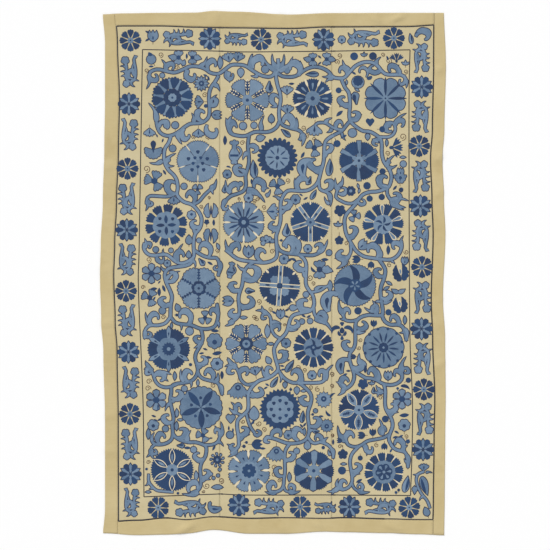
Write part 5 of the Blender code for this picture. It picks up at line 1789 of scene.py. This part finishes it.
        (154.4, 181, 30, 9.6), (277.4, 186.4, 10, 7.8), (314.2, 148, 10, 8.2), (197.5, 189.3, 0, 5),
        (354.4, 216, -40, 5.6), (149.8, 297.8, 20, 8), (205, 317.6, 180, 6.4), (203, 435.5, 30, 6.6),
    ),
    round_paisley: (
        (358.6, 80.5, 0, 7),
    ),
    thistle: (
        (217.2, 459.8, 0, 7),
    ),
}

# The inner frame line's places, clockwise from the bottom left corner
INNER_FRAME = (
    ((144, 496.8), (143, 400), (138.5, 290), (139.3, 240), (142.5, 49.6)),
    ((142.5, 49.6), (220, 51.2)),
    ((220, 51.2), (250, 52), (332, 51.2)),
    ((332, 51.2), (410, 49.9)),
    ((410, 49.9), (409, 100), (409.2, 240), (410, 340), (412.4, 400), (412, 450), (410.5, 495.5)),
    ((410.5, 495.5), (332, 494.9)),
    ((332, 494.9), (250, 495), (220, 493.9)),
    ((220, 493.9), (144, 496.8)),
)


# Finishes

# The share of a colour as it is seen that is the finish's own: the rest is in the light
FINISH_SHARE = 0.92

# The weave: how far apart its threads are, and how far they wander
WARP_SPACING = 0.0009
WEFT_SPACING = 0.0011
THREAD_WANDER = 0.0009

# The embroidery: how far apart its laid threads are, and the ties that hold them
THREAD_SPACING = 0.0010
TIE_SPACING = 0.0045
TIE_SLANT = 0.6

# How fine each unevenness is, in changes to a metre, and how those of slubs and streaks are drawn out
WANDER_FINENESS = 90
MOTTLE_FINENESS = 7
STAIN_FINENESS = 3.2
FIBRE_FINENESS = 900
STREAK_FINENESS = 420
FADE_FINENESS = 24
SLUB_FINENESS = (14, 420, 1)
STREAK_STRETCH = (0.12, 1, 1)

# How deep the bumps are
CLOTH_BUMP = 0.0003
STITCH_BUMP = 0.0003
BUMP_STRENGTH = 0.8


def dyed(red, green, blue):
    """A colour given as it looks in daylight, from 0 to 255, as the colour that a shader takes."""
    shares = [value / 255 for value in (red, green, blue)]
    linear = [s / 12.92 if s < 0.04 else ((s + 0.055) / 1.055) ** 2.4 for s in shares]
    return tuple(FINISH_SHARE * s for s in linear) + (1,)


def new_group(name, outputs):
    """A node group with these outputs, and its node for them."""
    group = bpy.data.node_groups.new(name, "ShaderNodeTree")
    for output, kind in outputs:
        group.interface.new_socket(name=output, in_out="OUTPUT", socket_type=kind)
    return group, group.nodes.new("NodeGroupOutput")


def add(tree, kind, inputs=None, **settings):
    """A node of a kind, with its settings, and with each input a value or another node's output."""
    node = tree.nodes.new("ShaderNode" + kind)
    for name, value in settings.items():
        setattr(node, name, value)
    for key, value in (inputs or {}).items():
        if isinstance(value, bpy.types.NodeSocket):
            tree.links.new(value, node.inputs[key])
        else:
            node.inputs[key].default_value = value
    return node


def reckon(tree, operation, *values):
    """The outcome of an operation on some values."""
    return add(tree, "Math", dict(enumerate(values)), operation=operation).outputs[0]


def total(tree, *parts):
    """The sum of some values, each given with how much of it there is."""
    value, amount = parts[0]
    reached = reckon(tree, "MULTIPLY", value, amount)
    for value, amount in parts[1:]:
        reached = reckon(tree, "ADD", reached, reckon(tree, "MULTIPLY", value, amount))
    return reached


def wave(tree, value, period):
    """Rounded ridges across a distance, a period apart, from 0 to 1."""
    turns = reckon(tree, "MULTIPLY", value, 2 * pi / period)
    return reckon(tree, "MULTIPLY_ADD", reckon(tree, "SINE", turns), 0.5, 0.5)


def noise(tree, places, scale, detail=3.0, roughness=0.55):
    inputs = {"Vector": places, "Scale": scale, "Detail": detail, "Roughness": roughness}
    return add(tree, "TexNoise", inputs).outputs["Fac"]


def between_ends(tree, value, low, high):
    """How far a value is from low to high, from 0 to 1."""
    return add(tree, "MapRange", {"Value": value, "From Min": low, "From Max": high}).outputs["Result"]


def woven_cloth():
    """A plain weave, with the slubs, mottling and stains of old hand-woven cotton."""
    tree, result = new_group("woven cloth", (
        ("Height", "NodeSocketFloat"), ("Mottle", "NodeSocketFloat"), ("Stain", "NodeSocketFloat"),
    ))
    places = add(tree, "TexCoord").outputs["Object"]
    axes = add(tree, "SeparateXYZ", {0: places})
    wander = noise(tree, places, WANDER_FINENESS, 2.0)
    across = reckon(tree, "MULTIPLY_ADD", wander, THREAD_WANDER, axes.outputs["X"])
    along = reckon(tree, "MULTIPLY_ADD", wander, THREAD_WANDER, axes.outputs["Y"])
    weave = reckon(tree, "MAXIMUM", wave(tree, across, WARP_SPACING), wave(tree, along, WEFT_SPACING))
    slubs = add(tree, "Mapping", {"Vector": places, "Scale": SLUB_FINENESS}).outputs[0]
    slub = noise(tree, slubs, 1.0, 2.0)
    height = total(tree, (weave, 0.7), (slub, 0.6))
    mottle = total(tree, (noise(tree, places, MOTTLE_FINENESS, 6.0, 0.6), 1), (slub, 0.35))
    stain = noise(tree, places, STAIN_FINENESS, 4.0, 0.65)
    tree.links.new(height, result.inputs["Height"])
    tree.links.new(between_ends(tree, mottle, 0.4, 0.95), result.inputs["Mottle"])
    tree.links.new(between_ends(tree, stain, 0.6, 0.74), result.inputs["Stain"])
    return tree


def laid_stitches():
    """Threads laid side by side, held down by rows of small crossing stitches, and dyed unevenly; the colour
    also darkens in painted shade in the grooves between the threads and at the crossing stitches.
    """
    outputs = (("Height", "NodeSocketFloat"), ("Tone_and_painted_shade", "NodeSocketFloat"))
    tree, result = new_group("laid stitches", outputs)
    laid = add(tree, "UVMap", uv_map="laid").outputs[0]
    axes = add(tree, "SeparateXYZ", {0: laid})
    run_along, side = axes.outputs["X"], axes.outputs["Y"]
    places = add(tree, "TexCoord").outputs["Object"]
    strands = wave(tree, side, THREAD_SPACING)
    slant = reckon(tree, "MULTIPLY_ADD", side, TIE_SLANT, run_along)
    tie = reckon(tree, "GREATER_THAN", wave(tree, slant, TIE_SPACING), 0.88)
    rows = reckon(tree, "GREATER_THAN", wave(tree, side, THREAD_SPACING * 2), 0.5)
    ties = reckon(tree, "MULTIPLY", tie, rows)
    fibres = noise(tree, places, FIBRE_FINENESS, 2.0)
    lengthways = add(tree, "VectorMath", {0: laid, 1: STREAK_STRETCH}, operation="MULTIPLY").outputs[0]
    streaks = noise(tree, lengthways, STREAK_FINENESS)
    fade = noise(tree, places, FADE_FINENESS, 4.0)
    tone = add(tree, "Attribute", attribute_name="tone").outputs["Fac"]
    height = total(tree, (strands, 0.75), (ties, 0.5), (fibres, 0.3))
    # The colour's tone: each shape's own tone, fading and streaks of the dye, plus painted shade that is
    # darker in the grooves between the strands and at the crossing ties
    dye_and_painted_shade = total(tree, (tone, 0.4), (fade, 0.5), (strands, 0.22), (streaks, 0.7), (ties, -0.2))
    tree.links.new(height, result.inputs["Height"])
    tree.links.new(between_ends(tree, dye_and_painted_shade, 0.55, 1.2), result.inputs["Tone_and_painted_shade"])
    return tree


def new_material(name, group, colour, bump, roughness, sheen):
    """A material whose colour is a function of its group's node, with the group's height as bumps."""
    material = bpy.data.materials.new(name)
    material.use_nodes = True
    tree = material.node_tree
    shader = tree.nodes["Principled BSDF"]
    shader.inputs["Roughness"].default_value = roughness
    shader.inputs["Sheen Weight"].default_value = sheen
    source = tree.nodes.new("ShaderNodeGroup")
    source.node_tree = group
    tree.links.new(colour(tree, source), shader.inputs["Base Color"])
    height = source.outputs["Height"]
    raised = add(tree, "Bump", {"Strength": BUMP_STRENGTH, "Distance": bump, "Height": height})
    tree.links.new(raised.outputs["Normal"], shader.inputs["Normal"])
    return material


def mix(tree, share, first, second):
    """A colour that is a share of the way from a first one to a second."""
    return add(tree, "Mix", {0: share, 6: first, 7: second}, data_type="RGBA").outputs[2]


def cloth_finish(name, group, pale, deep, stained):
    def colour(tree, source):
        base = mix(tree, source.outputs["Mottle"], deep, pale)
        return mix(tree, reckon(tree, "MULTIPLY", source.outputs["Stain"], 0.5), base, stained)

    return new_material(name, group, colour, CLOTH_BUMP, roughness=0.92, sheen=0.12)


def thread_finish(name, group, deep, pale):
    def colour(tree, source):
        # Deep to pale by the dye's tone and by the painted shade of the grooves and ties
        return mix(tree, source.outputs["Tone_and_painted_shade"], deep, pale)

    return new_material(name, group, colour, STITCH_BUMP, roughness=0.68, sheen=0.15)


# Each cloth's colour where it is pale, where it is deep and where it is stained
CLOTH_DYES = {
    "ground_cloth": (dyed(213, 200, 162), dyed(198, 183, 141), dyed(186, 167, 124)),
    "edging_cloth": (dyed(211, 193, 146), dyed(197, 177, 127), dyed(180, 158, 108)),
}

# Each thread's colour where it is deep and where it is pale; the mix between them follows the dye's uneven
# tone and also the painted shade of the grooves between threads and of the crossing stitches
THREAD_DYES = {
    "light": (dyed(80, 108, 138), dyed(124, 148, 172)),
    "dark": (dyed(0, 36, 76), dyed(18, 66, 112)),
    "pale": (dyed(216, 204, 172), dyed(236, 224, 194)),
    "outline": (dyed(20, 28, 58), dyed(42, 54, 88)),
    "frame": (dyed(20, 20, 32), dyed(46, 42, 52)),
    "tendril": (dyed(64, 40, 28), dyed(98, 68, 48)),
}


def make_finishes():
    """The materials of the two cloths by slot, and those of the threads by thread, with their slots."""
    weave, stitches = woven_cloth(), laid_stitches()
    cloths = {slot: cloth_finish(slot, weave, *dyes) for slot, dyes in CLOTH_DYES.items()}
    threads = {}
    for thread, dyes in THREAD_DYES.items():
        slot = thread + "_thread"
        threads[thread] = (thread_finish(slot, stitches, *dyes), slot)
    return cloths, threads


# The scene


def make_cloth(finishes):
    """The seven pieces of cloth in place of their solids. Returns each node's name with its piece."""
    left, first, second, right = ACROSS_KNOTS[1:5]
    low, high = ALONG_KNOTS[1:3]
    whole = evenly(0, CLOTH_LENGTH, EDGING_CELL * 2)
    inside = evenly(low, high, PANEL_CELL)
    between_sides = evenly(left, right, EDGING_CELL * 2)
    pieces = {}
    for node, across, along, slot in (
        ("panel_left", evenly(left, first, PANEL_CELL), inside, "ground_cloth"),
        ("panel_middle", evenly(first, second, PANEL_CELL), inside, "ground_cloth"),
        ("panel_right", evenly(second, right, PANEL_CELL), inside, "ground_cloth"),
        ("edging_left", evenly(0, left, EDGING_CELL), whole, "edging_cloth"),
        ("edging_right", evenly(right, CLOTH_WIDTH, EDGING_CELL), whole, "edging_cloth"),
        ("edging_bottom", between_sides, evenly(0, low, EDGING_CELL), "edging_cloth"),
        ("edging_top", between_sides, evenly(high, CLOTH_LENGTH, EDGING_CELL), "edging_cloth"),
    ):
        pieces[node] = cloth_sheet(node, across, along, finishes[slot])
        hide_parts(node)
    return pieces


# The camera looks straight down, from the height at which the picture takes in this width
PICTURE_WIDTH = 2.31
PICTURE_MIDDLE = (0.0088, -0.0078)
LENS = 100
SENSOR = 36

# The light: a soft sun from the upper left, and an even white sky
SUN_ENERGY = 1.5
SUN_SPREAD_DEG = 14
SUN_TURN_DEG = (-38, -32, 0)
SKY_WHITE = (1, 1, 1, 1)
SKY_STRENGTH = 0.75

# The white floor under the cloth: from its middle to its sides, how far down it is, and its finish
FLOOR_REACH = 6
FLOOR_DROP = 0.001
FLOOR_WHITE = (0.93, 0.93, 0.93, 1)
FLOOR_ROUGHNESS = 0.9


def put_in_scene(name, data):
    item = bpy.data.objects.new(name, data)
    bpy.context.scene.collection.objects.link(item)
    return item


def point_camera():
    camera = put_in_scene("camera", bpy.data.cameras.new("camera"))
    camera.data.lens = LENS
    camera.data.sensor_width = SENSOR
    camera.location = (*PICTURE_MIDDLE, PICTURE_WIDTH * LENS / SENSOR)
    bpy.context.scene.camera = camera
    bpy.context.scene.view_settings.view_transform = "Standard"


def light_scene():
    sun = put_in_scene("soft sun", bpy.data.lights.new("soft sun", "SUN"))
    sun.data.energy = SUN_ENERGY
    sun.data.angle = radians(SUN_SPREAD_DEG)
    sun.rotation_euler = [radians(turn) for turn in SUN_TURN_DEG]
    world = bpy.data.worlds.new("daylight")
    bpy.context.scene.world = world
    world.use_nodes = True
    sky = world.node_tree.nodes["Background"]
    sky.inputs["Color"].default_value = SKY_WHITE
    sky.inputs["Strength"].default_value = SKY_STRENGTH


def lay_floor():
    maker = bmesh.new()
    bmesh.ops.create_grid(maker, x_segments=1, y_segments=1, size=FLOOR_REACH)
    mesh = bpy.data.meshes.new("floor")
    maker.to_mesh(mesh)
    maker.free()
    white = bpy.data.materials.new("white floor")
    white.use_nodes = True
    shader = white.node_tree.nodes["Principled BSDF"]
    shader.inputs["Base Color"].default_value = FLOOR_WHITE
    shader.inputs["Roughness"].default_value = FLOOR_ROUGHNESS
    mesh.materials.append(white)
    floor = put_in_scene("floor", mesh)
    floor.location.z = -FLOOR_DROP


def frame_lines(work):
    """The two lines round the embroidery: one beside the edging's seam, and one inside the border."""
    near, far = EDGING + FRAME_INSET, CLOTH_WIDTH - EDGING - FRAME_INSET
    low, high = EDGING + FRAME_INSET, CLOTH_LENGTH - EDGING - FRAME_INSET
    upright, stops = evenly(low, high, LINE_SPACING), (near, FIRST_SEAM, SECOND_SEAM, far)
    for across in (near, far):
        x, y = place(np.full(upright.shape, across), upright)
        line(work, "frame", on_chart(x, y), FRAME_LINE)
    for along in (low, high):
        for start, end in zip(stops, stops[1:]):
            level = evenly(start, end, LINE_SPACING)
            x, y = place(level, np.full(level.shape, along))
            line(work, "frame", on_chart(x, y), FRAME_LINE)
    for places in INNER_FRAME:
        line(work, "frame", curve_through(places, LINE_SPACING / STEP), FRAME_LINE)


def on_chart(x, y):
    """Places from the cloth's bottom left corner, in metres, as places on the chart, across and up."""
    places = np.stack((x - CLOTH_WIDTH / 2, y - CLOTH_LENGTH / 2), axis=1)
    return places / STEP + np.array((MIDDLE_ACROSS, -MIDDLE_DOWN))


def embroider(work):
    """Everything on the cloth, in the order in which it is sewn."""
    frame_lines(work)
    for width, places in VINES:
        vine(work, places, width)
    for across, down, eye_across, eye_down, hand, width in CURLS:
        curl(work, (across, down), (eye_across, eye_down), hand, width)
    for across, down, tip_across, tip_down, hand, width in HORNS:
        horn(work, (across, down), (tip_across, tip_down), HORN_BOW * hand, width)
    for across, down, radius, turn, design in ROSETTES:
        rosette(work, Spot(across, down, turn, radius / DESIGN_RADIUS), design)
    for across, down, turn, design in BORDER_ROSETTES:
        rosette(work, Spot(across, down, turn), "border " + design)
    for across, down, turn, size, hand in BORDER_SCROLLS:
        border_scroll(work, Spot(across, down, turn, size, hand))
    for motif, spots in MOTIFS.items():
        for across, down, turn, size in spots:
            motif(work, Spot(across, down, turn, size))


def main():
    cloth_finishes, thread_finishes = make_finishes()
    cloths = make_cloth(cloth_finishes)
    work = Needlework(thread_finishes)
    embroider(work)
    stitches = {}
    for (panel, _), threadwork in sorted(work.works.items()):
        stitches.setdefault("panel_" + panel, []).append(threadwork.make())
    point_camera()
    light_scene()
    lay_floor()


main()
